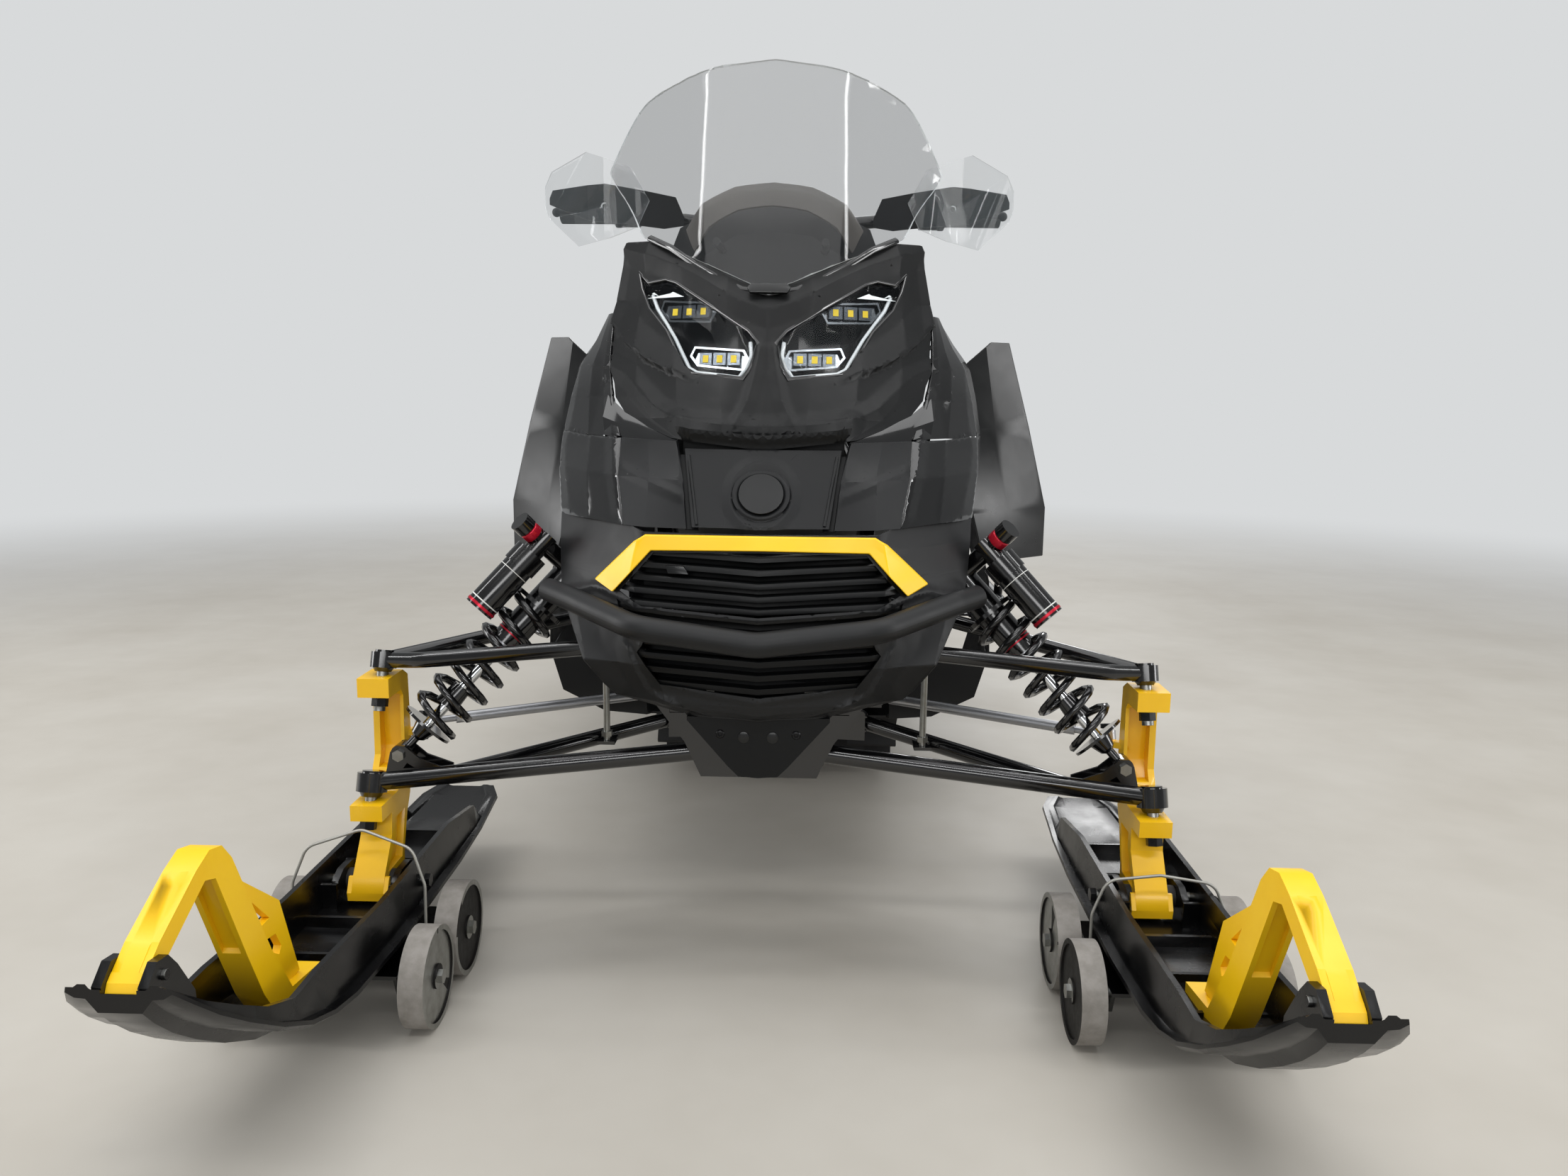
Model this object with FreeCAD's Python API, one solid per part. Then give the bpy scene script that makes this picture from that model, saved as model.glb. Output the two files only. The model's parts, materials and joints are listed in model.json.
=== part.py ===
import FreeCAD, Part
import math
import os

V = FreeCAD.Vector

# A wide-track utility snowmobile with its skis on wheeled show dollies.
# X is to the rider's left, Y runs to the rear, Z is up from the floor.
# "back" in the helpers below is the distance behind the lower ball joints.

# Layout
SPINDLE_Y = -1060.0
CLEARANCE = 0.3

# Front suspension, left side
LOWER_BALL = (538.0, 0.0, 273.0)
UPPER_BALL = (530.0, 43.0, 437.0)
ARM_TUBE_R = 11.0
UPPER_FRONT_PIVOT = (165.0, -10.0, 478.0)
UPPER_REAR_PIVOT = (165.0, 326.0, 484.0)
LOWER_FRONT_PIVOT = (62.0, 0.0, 330.0)
LOWER_REAR_PIVOT = (150.0, 282.0, 292.0)
HOUSING_R = 21.0
SWAY_LINK = (238.0, 158.0, 430.0)
LOWER_FORK = 112.0
HOUSING_H = 26.0
STUD_R = 8.0

# Coil-over shock, from its lower bolt to its top bolt
SHOCK_LOW = (499.0, 14.0, 313.0)
SHOCK_TOP = (198.0, 153.0, 645.0)
SHOCK_EYE_R = 13.0
SHOCK_EYE_W = 22.0
SHOCK_BOLT_R = 5.0
SHAFT_R = 7.0
BODY_R = 22.0
BODY_START = 212.0
SPRING_R = 35.5
SPRING_WIRE = 3.8
SPRING_START = 56.0
SPRING_END = 272.0
SPRING_TURNS = 6.5
CUP_R = 38.0
RESERVOIR_R = 22.0
RESERVOIR_OFFSET = 63.5
RESERVOIR_START = 216.0
RESERVOIR_END = 326.0

# Spindle and steering arm
SPINDLE_W = 44.0
SPINDLE_X = 536.0
STEER_ARM_END = (502.0, 112.0, 316.0)
STEER_ARM_T = 9.0
TIE_ROD_INNER = (176.0, 262.0, 338.0)
TIE_ROD_R = 8.0
ROD_EYE_R = 13.0
ROD_EYE_H = 13.0

# Ski
SKI_X = 538.0
SKI_HALF = 84.0
SKI_RAIL = 68.0
SKI_RAIL_X = 64.0
SKI_WALL = 9.0
SKI_KEEL = 13.0
SKI_BASE_Z = 100.0
SKI_PIVOT = (538.0, -8.0, 134.0)
SKI_BOLT_R = 6.0

# Ski dolly
WHEEL_R = 65.0
WHEEL_W = 32.0
DOLLY_AXLES = (-148.0, -8.0)
DOLLY_WHEEL_OUT = 116.0
DOLLY_AXLE_R = 6.0
DOLLY_PLATE_T = 5.0
DOLLY_HALF = DOLLY_WHEEL_OUT - WHEEL_W / 2 - 12.0
TIE_WIRE_R = 2.0

# Ski handle
HANDLE_STRAP = 32.0
HANDLE_WEB = 9.0
HANDLE_RIVET = (-576.0, 292.0)
RUNNER_H = 7.0

# Arm pivots, and the frame's bulkheads on each side of them
ARM_BOLT_R = 6.0
FRAME_PLATES = (-33.0, 20.0, 254.0, 350.0)

# Body panels
PANEL_T = 4.0
LENS_T = 3.0
PANEL_GAP = 0.75
DISC_R = 29.0
DISC_Z = 682.0
SCREEN_T = 3.0
BUMPER_R = 16.0

# Steering
STEER_TOP = (0.0, 610.0, 1105.0)
STEER_TILT = 22.0
COLUMN_R = 15.0
COLUMN_LENGTH = 300.0
BEARING_AT = 215.0
BAR_R = 11.0
GRIP_R = 17.0
GRIP_END = 392.0

# Tunnel, running boards and seat
TRACK_W = 508.0
TUNNEL_HALF = TRACK_W / 2 + 14.0
TUNNEL_T = 3.0
TUNNEL_FRONT = 578.0
TUNNEL_END = 2210.0
TUNNEL_TOP_FRONT = 640.0
TUNNEL_TOP_REAR = 560.0
BOARD_Z = 398.0
BOARD_T = 4.0
BOARD_OUT = TUNNEL_HALF + 184.0
SEAT_HALF = 165.0

# Track and its suspension
BAND_T = 8.0
LUG_H = 38.0
LUG_PITCH = 76.0
SPROCKET = (720.0, 362.0, 88.0)
CARRIER = (1500.0, 330.0, 70.0)
REAR_IDLER_BACK = 2330.0
REAR_IDLER_R = 89.0
BOW_BACK = 1060.0
BOW_R = 260.0
RAIL_X = 118.0
RAIL_T = 14.0
SLIDER_H = 14.0
BOGIE_R = 66.0
BOGIES = (1260.0, 1600.0, 1940.0)
AXLE_R = 12.0
RAIL_SHAFTS = ((1180.0, 112.0), (1330.0, 112.0), (1880.0, 112.0), (1720.0, 112.0))
SKID_FRONT_PIVOT = (960.0, 350.0)
SKID_REAR_PIVOT = (1400.0, 320.0)
HITCH_PIN_BACK = 2372.0
HITCH_T = 10.0
HITCH_PIN_R = 9.0


def at(x, back, z):
    """Point given by its distance behind the lower ball joints."""
    return V(x, SPINDLE_Y + back, z)


def spot(place):
    """Point for a named place of three sizes."""
    return at(*place)


def mirrored(shape):
    """The same piece on the other side of the machine."""
    return shape.mirror(V(0, 0, 0), V(1, 0, 0))


def both(shape):
    """A left piece and its mirror image."""
    return [shape, mirrored(shape)]


def unit(vector):
    """The vector's direction."""
    direction = V(vector)
    direction.normalize()
    return direction


def step(point, direction, distance):
    """Point moved along a direction."""
    return point.add(V(direction).multiply(distance))


def polygon(points):
    """Closed wire through the points."""
    return Part.makePolygon(list(points) + [points[0]])


def prism(points, direction):
    """Solid with the flat outline given, pushed along a direction."""
    return Part.Face(polygon(points)).extrude(direction)


def side_prism(outline, x0, x1):
    """Outline of (back, z) pairs, as wide as x0 to x1."""
    return prism([at(x0, back, z) for back, z in outline], V(x1 - x0, 0, 0))


def plan_prism(outline, z0, z1):
    """Outline of (x, back) pairs, as high as z0 to z1."""
    return prism([at(x, back, z0) for x, back in outline], V(0, 0, z1 - z0))


def front_prism(outline, back0, back1):
    """Outline of (x, z) pairs, as deep as back0 to back1."""
    return prism([at(x, back0, z) for x, z in outline], V(0, back1 - back0, 0))


def block(x0, x1, back0, back1, z0, z1):
    """Upright block between two corners."""
    return Part.makeBox(x1 - x0, back1 - back0, z1 - z0, at(x0, back0, z0))


def drum(centre, axis, radius, length, bore=0.0):
    """Cylinder centred on a point, with an optional bore."""
    direction = unit(axis)
    start = step(centre, direction, -length / 2)
    solid = Part.makeCylinder(radius, length, start, direction)
    if bore:
        solid = solid.cut(Part.makeCylinder(bore, length, start, direction))
    return solid


def rod(start, end, radius, bore=0.0):
    """Round bar or tube between two points."""
    axis = end.sub(start)
    solid = Part.makeCylinder(radius, axis.Length, start, axis)
    if bore:
        solid = solid.cut(Part.makeCylinder(bore, axis.Length, start, axis))
    return solid


def flat_bar(start, end, width, thickness, normal):
    """Flat bar between two points, its face square to the normal."""
    along = end.sub(start)
    across = unit(along.cross(normal)).multiply(width / 2)
    lift = unit(normal).multiply(thickness)
    base = start.sub(V(lift).multiply(0.5))
    tip = end.sub(V(lift).multiply(0.5))
    return prism([base.sub(across), base.add(across), tip.add(across), tip.sub(across)], lift)


def bent_path(points, bend):
    """Straight runs joined by tangent arcs of about the bend radius."""
    edges = []
    last = points[0]
    for before, corner, after in zip(points, points[1:], points[2:]):
        back = unit(before.sub(corner))
        ahead = unit(after.sub(corner))
        half_turn = (math.pi - back.getAngle(ahead)) / 2
        room = 0.45 * min(before.sub(corner).Length, after.sub(corner).Length)
        reach = min(bend * math.tan(half_turn), room)
        enter = step(corner, back, reach)
        leave = step(corner, ahead, reach)
        radius = reach / math.tan(half_turn)
        bisector = unit(back.add(ahead))
        middle = step(corner, bisector, radius / math.cos(half_turn) - radius)
        edges.append(Part.LineSegment(last, enter).toShape())
        edges.append(Part.Arc(enter, middle, leave).toShape())
        last = leave
    edges.append(Part.LineSegment(last, points[-1]).toShape())
    return Part.Wire(edges)


def bent_tube(points, radius, bend):
    """Round bar along a path with bends."""
    path = bent_path(points, bend)
    ring = Part.Wire([Part.Circle(points[0], points[1].sub(points[0]), radius).toShape()])
    return path.makePipeShell([ring], True, True)


def loft(sections):
    """Solid with straight sides through flat outlines of like corners."""
    return Part.makeLoft([polygon(section) for section in sections], True, True)


def union(shapes):
    """One solid out of pieces that overlap."""
    return shapes[0].multiFuse(shapes[1:]).removeSplitter()


def save(name, shapes):
    """Write one node, and say where a solid is not sound."""
    solids = [solid for shape in shapes for solid in shape.Solids]
    sound = all(solid.isValid() and solid.Volume > 0 for solid in solids)
    if not sound or not solids:
        print("not sound:", name)
    body = solids[0] if len(solids) == 1 else Part.makeCompound(solids)
    body.exportStep("parts/" + name + ".step")


def save_pair(name, shapes):
    """Write a left node and its mirror image as the right node."""
    save(name + "_left", shapes)
    save(name + "_right", [mirrored(shape) for shape in shapes])


# Axes worked out from the places above

KINGPIN = unit(spot(UPPER_BALL).sub(spot(LOWER_BALL)))
SHOCK_AXIS = unit(spot(SHOCK_TOP).sub(spot(SHOCK_LOW)))
ACROSS = V(1, 0, 0)
ALONG = V(0, 1, 0)
UPWARD = V(0, 0, 1)


def kingpin_point(height):
    """Point of the kingpin axis at a height above the floor."""
    base = spot(LOWER_BALL)
    return step(base, KINGPIN, (height - base.z) / KINGPIN.z)


def spindle():
    """Cast spindle: two bosses on a rear channel that opens forward, and a leg down to the ski."""
    outline = [(12, 417), (70, 417), (90, 406), (94, 300), (80, 232), (64, 206), (48, 160), (44, 116),
               (-42, 116), (-44, 128), (-34, 150), (0, 196), (4, 228), (-34, 228), (-34, 250), (30, 250), (48, 264),
               (65, 292), (68, 380), (60, 390), (12, 390)]
    half = SPINDLE_W / 2
    body = side_prism(outline, SPINDLE_X - half, SPINDLE_X + half)
    # The channel between the bosses leaves two flanges and a rear web.
    channel = [(20, 276), (76, 276), (86, 300), (82, 382), (20, 382)]
    body = body.cut(side_prism(channel, SPINDLE_X - half + 5, SPINDLE_X + half - 9))
    leg_pocket = [(16, 216), (56, 216), (40, 160), (36, 150), (-20, 150), (16, 196)]
    depth = 10.0
    for near, far in ((half - depth, half), (-half, -half + depth)):
        body = body.cut(side_prism(leg_pocket, SPINDLE_X + near, SPINDLE_X + far))
    foot = side_prism([(-44, 128), (-34, 148), (-30, 148), (-30, 116), (-42, 116)], SPINDLE_X - half - 6,
                      SPINDLE_X + half + 6)
    stud = rod(kingpin_point(200), kingpin_point(430), STUD_R + CLEARANCE)
    pivot = rod(at(SPINDLE_X - 60, SKI_PIVOT[1], SKI_PIVOT[2]), at(SPINDLE_X + 60, SKI_PIVOT[1], SKI_PIVOT[2]),
                SKI_BOLT_R + CLEARANCE)
    return union([body, foot, steering_arm()]).cut(stud).cut(pivot)


def steering_arm():
    """Arm that reaches back and in from the web to the tie rod's stud."""
    end = spot(STEER_ARM_END)
    root = at(SPINDLE_X - 8, 88, STEER_ARM_END[2] + 2)
    arm = flat_bar(root, end, 26, STEER_ARM_T, KINGPIN)
    eye = drum(end, KINGPIN, ROD_EYE_R, STEER_ARM_T)
    return arm.fuse(eye).cut(drum(end, KINGPIN, SHOCK_BOLT_R, 40))


def hex_nut(centre, axis, across, height, bore):
    """Six-sided nut centred on a point."""
    direction = unit(axis)
    side = unit(direction.cross(ACROSS if abs(direction.x) < 0.9 else ALONG))
    start = step(centre, direction, -height / 2)
    corners = []
    for index in range(6):
        turn = FreeCAD.Rotation(direction, 60 * index)
        corners.append(step(start, turn.multVec(side), across / math.sqrt(3)))
    nut = prism(corners, V(direction).multiply(height))
    if bore:
        nut = nut.cut(drum(centre, direction, bore, 3 * height))
    return nut


def spindle_hardware():
    """Ball studs with their nuts, the tie rod's bolt, and the ski bolt with its bushes."""
    lower_stud = rod(kingpin_point(213), step(spot(LOWER_BALL), KINGPIN, 2), STUD_R)
    lower_nut = hex_nut(kingpin_point(216), KINGPIN, 20, 12, 0)
    upper_stud = rod(kingpin_point(368), step(spot(UPPER_BALL), KINGPIN, 2), STUD_R)
    upper_nut = hex_nut(kingpin_point(380), KINGPIN, 20, 12, 0)
    arm_end = spot(STEER_ARM_END)
    rod_bolt = rod(step(arm_end, KINGPIN, -13), step(arm_end, KINGPIN, 24), SHOCK_BOLT_R)
    rod_nut = hex_nut(step(arm_end, KINGPIN, -10), KINGPIN, 15, 8, 0)
    rod_head = hex_nut(step(arm_end, KINGPIN, 24), KINGPIN, 15, 7, 0)
    pivot = spot(SKI_PIVOT)
    grip = SKI_RAIL_X + 11
    ski_bolt = rod(V(pivot.x - grip, pivot.y, pivot.z), V(pivot.x + grip, pivot.y, pivot.z), SKI_BOLT_R)
    ski_head = hex_nut(V(pivot.x - grip, pivot.y, pivot.z), ACROSS, 17, 8, 0)
    ski_nut = hex_nut(V(pivot.x + grip, pivot.y, pivot.z), ACROSS, 17, 8, 0)
    return [union([lower_stud, lower_nut]), union([upper_stud, upper_nut]),
            union([rod_bolt, rod_nut, rod_head]), union([ski_bolt, ski_head, ski_nut])]


def ski_section(back, base, half, rail):
    """Channel section of the ski: keel, low side flanges and two tall rails."""
    rib = min(SKI_RAIL_X, half - 14)
    floor = base + SKI_WALL
    side = [(20, base - SKI_KEEL), (30, base), (half - 8, base + 1), (half, base + 6), (half - 1, base + 11),
            (rib + 6, floor + 2), (rib + 2, base + rail), (rib - 5, base + rail), (rib - 8, floor + 1), (24, floor)]
    right = [(-x, z) for x, z in reversed(side)]
    return [at(SKI_X + x, back, z) for x, z in side + right]


def ski():
    """Ski with an upturned tip, a stepped tail and two ears for the handle."""
    base = SKI_BASE_Z
    stations = [(430, base + 8, 50, 12), (392, base + 4, 66, 12), (300, base, 72, 14), (256, base, 76, 46),
                (120, base, 82, SKI_RAIL), (-150, base, SKI_HALF, SKI_RAIL), (-290, base + 9, SKI_HALF, 66),
                (-350, base + 21, SKI_HALF, 58), (-410, base + 42, SKI_HALF, 36), (-470, base + 74, 82, 28),
                (-522, base + 109, 74, 24), (-560, base + 138, 66, 20), (-588, base + 164, 58, 17),
                (-604, base + 182, 48, 14)]
    body = loft([ski_section(*station) for station in stations])
    wall = 9.0
    towers = []
    for side in (-1, 1):
        inner = SKI_X + side * (SPINDLE_W / 2 + 14)
        outer = inner + side * wall
        tower = [(-58, base + 2), (44, base + 2), (30, base + 48), (10, base + 56), (-26, base + 56), (-46, base + 46)]
        towers.append(side_prism(tower, min(inner, outer), max(inner, outer)))
        # Webs tie each tower to the rail beside it.
        for back in (-54, 34):
            far = SKI_X + side * (SKI_RAIL_X - 4)
            towers.append(block(min(inner, far), max(inner, far), back, back + 6, base + 3, base + 44))
    for back in (-300, -210, -110, 90, 200):
        towers.append(block(SKI_X - SKI_RAIL_X + 6, SKI_X + SKI_RAIL_X - 6, back, back + 6, base + 3, base + 24))
    ears = []
    for side in (-1, 1):
        inner = SKI_X + side * (HANDLE_STRAP / 2 + CLEARANCE)
        outer = inner + side * wall
        ear = [(-602, base + 174), (-560, base + 132), (-524, base + 108), (-526, base + 150), (-552, base + 190),
               (-566, base + 206), (-584, base + 208), (-602, base + 192)]
        ears.append(side_prism(ear, min(inner, outer), max(inner, outer)))
    reach = SKI_RAIL_X + 14
    bolt = rod(at(SKI_X - reach, SKI_PIVOT[1], SKI_PIVOT[2]), at(SKI_X + reach, SKI_PIVOT[1], SKI_PIVOT[2]),
               SKI_BOLT_R + CLEARANCE)
    rivet = rod(at(SKI_X - 40, HANDLE_RIVET[0], HANDLE_RIVET[1]), at(SKI_X + 40, HANDLE_RIVET[0], HANDLE_RIVET[1]),
                5 + CLEARANCE)
    shell = union([body] + towers + ears)
    foot_seat = side_prism(handle_rear_foot(), SKI_X - HANDLE_STRAP / 2 - CLEARANCE,
                           SKI_X + HANDLE_STRAP / 2 + CLEARANCE)
    toe_seat = side_prism(handle_front_foot(), SKI_X - HANDLE_STRAP / 2 - CLEARANCE,
                          SKI_X + HANDLE_STRAP / 2 + CLEARANCE)
    return shell.cut(bolt).cut(rivet).cut(foot_seat).cut(toe_seat)


def handle_front_foot():
    """Side outline of the space that the handle's front foot takes on the tip."""
    base = SKI_BASE_Z
    return [(-608, base + 206), (-608, base + 190), (-584, base + 174), (-560, base + 172), (-550, base + 206)]


def handle_rear_foot():
    """Side outline of the handle's rear foot, which sits on the ski's floor."""
    base = SKI_BASE_Z
    return [(-360, base + 25), (-360, base + 41), (-232, base + 26), (-232, base + 12)]


def ski_handle():
    """Loop handle: a strap up from the tip and down to the rear foot, with a windowed web behind it."""
    base = SKI_BASE_Z
    strap = [(-598, base + 184), (-594, base + 192), (-568, base + 213), (-494, base + 254), (-466, base + 265),
             (-442, base + 260), (-424, base + 240), (-352, base + 102), (-308, base + 34), (-352, base + 28),
             (-376, base + 62), (-406, base + 122), (-458, base + 232), (-478, base + 238), (-552, base + 196),
             (-580, base + 176)]
    half = HANDLE_STRAP / 2
    body = side_prism(strap, SKI_X - half, SKI_X + half)
    web = [(-440, base + 250), (-398, base + 206), (-304, base + 138), (-264, base + 32), (-330, base + 30),
           (-390, base + 100)]
    windows = [[(-330, base + 129), (-368, base + 165), (-380, base + 166), (-377, base + 139), (-362, base + 127)],
               [(-318, base + 104), (-344, base + 108), (-347, base + 98), (-312, base + 76), (-306, base + 84)]]
    plate = side_prism(web, SKI_X - HANDLE_WEB / 2, SKI_X + HANDLE_WEB / 2)
    for window in windows:
        plate = plate.cut(side_prism(window, SKI_X - half - 1, SKI_X + half + 1))
    # The front leg narrows to a raised rib between two lower shoulders.
    shoulder = [(-600, base + 240), (-586, base + 204), (-560, base + 224), (-490, base + 262), (-470, base + 290)]
    groove = [(-560, base + 186), (-478, base + 232), (-462, base + 228), (-412, base + 120), (-404, base + 130),
              (-456, base + 244), (-480, base + 246), (-562, base + 202)]
    body = body.cut(side_prism(groove, SKI_X - half + 6, SKI_X + half - 6))
    for side in (-1, 1):
        near = SKI_X + side * (half - 7)
        far = SKI_X + side * (half + 1)
        lower = [(back, z - 6) for back, z in shoulder]
        body = body.cut(side_prism(lower, min(near, far), max(near, far)))
    foot = side_prism(handle_rear_foot(), SKI_X - half, SKI_X + half)
    rivet = rod(at(SKI_X - 40, HANDLE_RIVET[0], HANDLE_RIVET[1]), at(SKI_X + 40, HANDLE_RIVET[0], HANDLE_RIVET[1]),
                5 + CLEARANCE)
    return union([body, plate, foot]).cut(rivet)


def ski_fittings():
    """Wear runner under the keel, and the rivet through the handle's front foot."""
    base = SKI_BASE_Z - SKI_KEEL
    runner = side_prism([(-190, base - RUNNER_H), (190, base - RUNNER_H), (214, base), (-214, base)],
                        SKI_X - 5, SKI_X + 5)
    half = HANDLE_STRAP / 2 + 13
    rivet = rod(at(SKI_X - half, HANDLE_RIVET[0], HANDLE_RIVET[1]), at(SKI_X + half, HANDLE_RIVET[0], HANDLE_RIVET[1]), 5)
    return [runner, rivet]


def pivot_bushes():
    """Rubber bushes between the spindle's foot and the ski's two towers."""
    bushes = []
    for side in (-1, 1):
        face = SPINDLE_X + side * (SPINDLE_W / 2 + CLEARANCE)
        tower = SKI_X + side * (SPINDLE_W / 2 + 14 - CLEARANCE)
        centre = at((face + tower) / 2, SKI_PIVOT[1], SKI_PIVOT[2])
        bushes.append(drum(centre, ACROSS, 15, abs(tower - face), SKI_BOLT_R + CLEARANCE))
    return bushes


def dolly_frame():
    """Folded plate under the ski with two pairs of axle bearings."""
    top = SKI_BASE_Z - SKI_KEEL - RUNNER_H - CLEARANCE
    half = DOLLY_HALF
    front = DOLLY_AXLES[0] - 32
    rear = DOLLY_AXLES[1] + 32
    plate = block(SKI_X - half, SKI_X + half, front, rear, top - DOLLY_PLATE_T, top)
    parts = [plate]
    for side in (-1, 1):
        edge = SKI_X + side * half
        inner = edge - side * DOLLY_PLATE_T
        cheek = [(front, top), (rear, top), (rear - 12, WHEEL_R - 16), (front + 12, WHEEL_R - 16)]
        parts.append(side_prism(cheek, min(edge, inner), max(edge, inner)))
        # A bump on the plate holds the ski's flat on each side of the keel.
        ridge = SKI_X + side * 44
        parts.append(block(ridge - 8, ridge + 8, front + 16, rear - 16, top - 1, SKI_BASE_Z - CLEARANCE))
    frame = union(parts)
    for axle in DOLLY_AXLES:
        frame = frame.cut(rod(at(SKI_X - 130, axle, WHEEL_R), at(SKI_X + 130, axle, WHEEL_R), DOLLY_AXLE_R + CLEARANCE))
    return frame


def dolly_axle(back):
    """Axle with a wheel at each end: solid tyre, hub disc and bolt head."""
    pieces = [rod(at(SKI_X - DOLLY_WHEEL_OUT, back, WHEEL_R), at(SKI_X + DOLLY_WHEEL_OUT, back, WHEEL_R), DOLLY_AXLE_R)]
    for side in (-1, 1):
        centre = at(SKI_X + side * DOLLY_WHEEL_OUT, back, WHEEL_R)
        wheel = drum(centre, ACROSS, WHEEL_R, WHEEL_W)
        dish = drum(step(centre, ACROSS, side * WHEEL_W / 2), ACROSS, WHEEL_R - 7, 6, 16)
        pieces.append(wheel.cut(dish))
        pieces.append(hex_nut(step(centre, ACROSS, side * (WHEEL_W / 2 + 3)), ACROSS, 17, 7, 0))
    return union(pieces)


def tie_wire(route):
    """Thin wire from one side of the dolly over the ski to the other."""
    return bent_tube([at(SKI_X + x, back, z) for x, back, z in route], TIE_WIRE_R, 24)


def ball_housing(centre, boss_top, radius, height):
    """Ball joint housing with its boot, bored blind for the stud."""
    body = drum(centre, KINGPIN, radius, height)
    cap = drum(step(centre, KINGPIN, height / 2 + 1.5), KINGPIN, 0.7 * radius, 3)
    foot = step(centre, KINGPIN, -height / 2)
    gap = (foot.z - boss_top) / KINGPIN.z - 0.27 * 0.62 * radius - CLEARANCE
    boot = Part.makeCone(0.62 * radius, 0.8 * radius, gap, step(foot, KINGPIN, -gap), KINGPIN)
    bore = rod(step(foot, KINGPIN, -gap - 6), step(centre, KINGPIN, 2 + CLEARANCE), STUD_R + CLEARANCE)
    return [body, cap, boot], bore


def arm_pivot(place):
    """Cross tube at an arm's inner pivot, and the arm's tube out to it."""
    return drum(spot(place), ALONG, 15, 34)


def upper_arm():
    """Upper wishbone: two tubes that meet at the ball joint."""
    housing, bore = ball_housing(spot(UPPER_BALL), 418, 18, 22)
    pieces = list(housing)
    pieces.append(bent_tube([spot(UPPER_BALL), at(470, 20, 443), spot(UPPER_FRONT_PIVOT)], ARM_TUBE_R, 60))
    pieces.append(rod(spot(UPPER_BALL), spot(UPPER_REAR_PIVOT), ARM_TUBE_R))
    pieces.extend([arm_pivot(UPPER_FRONT_PIVOT), arm_pivot(UPPER_REAR_PIVOT)])
    arm = union(pieces).cut(bore)
    for place in (UPPER_FRONT_PIVOT, UPPER_REAR_PIVOT):
        arm = arm.cut(drum(spot(place), ALONG, ARM_BOLT_R, 60))
    return arm


def lower_fork():
    """Point of the lower arm's front tube where its rear tube joins."""
    ball = spot(LOWER_BALL)
    return step(ball, unit(spot(LOWER_FRONT_PIVOT).sub(ball)), LOWER_FORK)


def lower_arm():
    """Lower wishbone with the shock's gusset and ears, and the sway link's tab."""
    housing, bore = ball_housing(spot(LOWER_BALL), 250, HOUSING_R, HOUSING_H)
    pieces = list(housing)
    pieces.append(rod(spot(LOWER_BALL), spot(LOWER_FRONT_PIVOT), ARM_TUBE_R + 2))
    pieces.append(rod(lower_fork(), spot(LOWER_REAR_PIVOT), ARM_TUBE_R + 1))
    pieces.extend([arm_pivot(LOWER_FRONT_PIVOT), arm_pivot(LOWER_REAR_PIVOT)])
    x, back, z = SHOCK_LOW
    plate = [(x + 20, z - 30), (x + 12, z + 4), (x + 4, z + 13), (x - 8, z + 13), (x - 30, z - 6),
             (x - 67, z - 19), (x - 67, z - 30)]
    window = [(x - 5, z - 19), (x - 11, z - 11), (x - 22, z - 18)]
    for side in (-1, 1):
        near = back + side * (SHOCK_EYE_W / 2 + CLEARANCE)
        far = near + side * 4
        ear = front_prism(plate, min(near, far), max(near, far))
        pieces.append(ear.cut(front_prism(window, min(near, far), max(near, far))))
    bridge = plan_prism([(x + 12, 2), (x + 12, 20), (x - 60, 40), (x - 60, 2)], z - 31, z - 26)
    pieces.append(bridge)
    pieces.append(flat_bar(at(SWAY_LINK[0], 192, 289), at(SWAY_LINK[0], SWAY_LINK[1] - 10, 289), 26, 5, UPWARD))
    arm = union(pieces).cut(bore)
    for place in (LOWER_FRONT_PIVOT, LOWER_REAR_PIVOT):
        arm = arm.cut(drum(spot(place), ALONG, ARM_BOLT_R, 60))
    return arm.cut(drum(spot(SHOCK_LOW), ALONG, SHOCK_BOLT_R + CLEARANCE, 50))


def shock_point(distance):
    """Point of the shock's axis, from its lower bolt."""
    return step(spot(SHOCK_LOW), SHOCK_AXIS, distance)


def turned(start, axis, side, profile):
    """Solid of revolution through a profile of (distance along, radius) pairs."""
    points = [step(step(start, axis, along), side, radius) for along, radius in profile]
    solid = Part.Face(polygon(points)).revolve(start, axis, 360)
    return Part.makeSolid(solid) if solid.ShapeType == "Shell" else solid


def shock_unit():
    """Damper: lower clevis and shaft, bump stop, body, and the piggyback reservoir."""
    length = spot(SHOCK_TOP).sub(spot(SHOCK_LOW)).Length
    lower_eye = drum(spot(SHOCK_LOW), ALONG, SHOCK_EYE_R, SHOCK_EYE_W, SHOCK_BOLT_R + CLEARANCE)
    upper_eye = drum(spot(SHOCK_TOP), ALONG, SHOCK_EYE_R, SHOCK_EYE_W, SHOCK_BOLT_R + CLEARANCE)
    cup = SPRING_START - 8
    seat = SPRING_END + CLEARANCE
    stop = SPRING_START + 30
    profile = [(9, 0), (9, 6), (26, 6), (30, 11), (cup, 17), (cup, CUP_R), (cup + 4, CUP_R), (cup + 4, SHAFT_R),
               (stop, SHAFT_R), (stop, 17), (stop + 34, 13), (stop + 34, SHAFT_R), (BODY_START - 8, SHAFT_R),
               (BODY_START - 8, BODY_R - 3), (BODY_START, BODY_R - 3), (BODY_START, BODY_R), (seat, BODY_R),
               (seat, CUP_R), (seat + 6, CUP_R), (seat + 6, BODY_R), (length - 42, BODY_R), (length - 42, 8),
               (length - 9, 8), (length - 9, 0)]
    damper = turned(spot(SHOCK_LOW), SHOCK_AXIS, reservoir_side().multiply(-1), profile)
    return union([damper, lower_eye, upper_eye] + reservoir())


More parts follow.
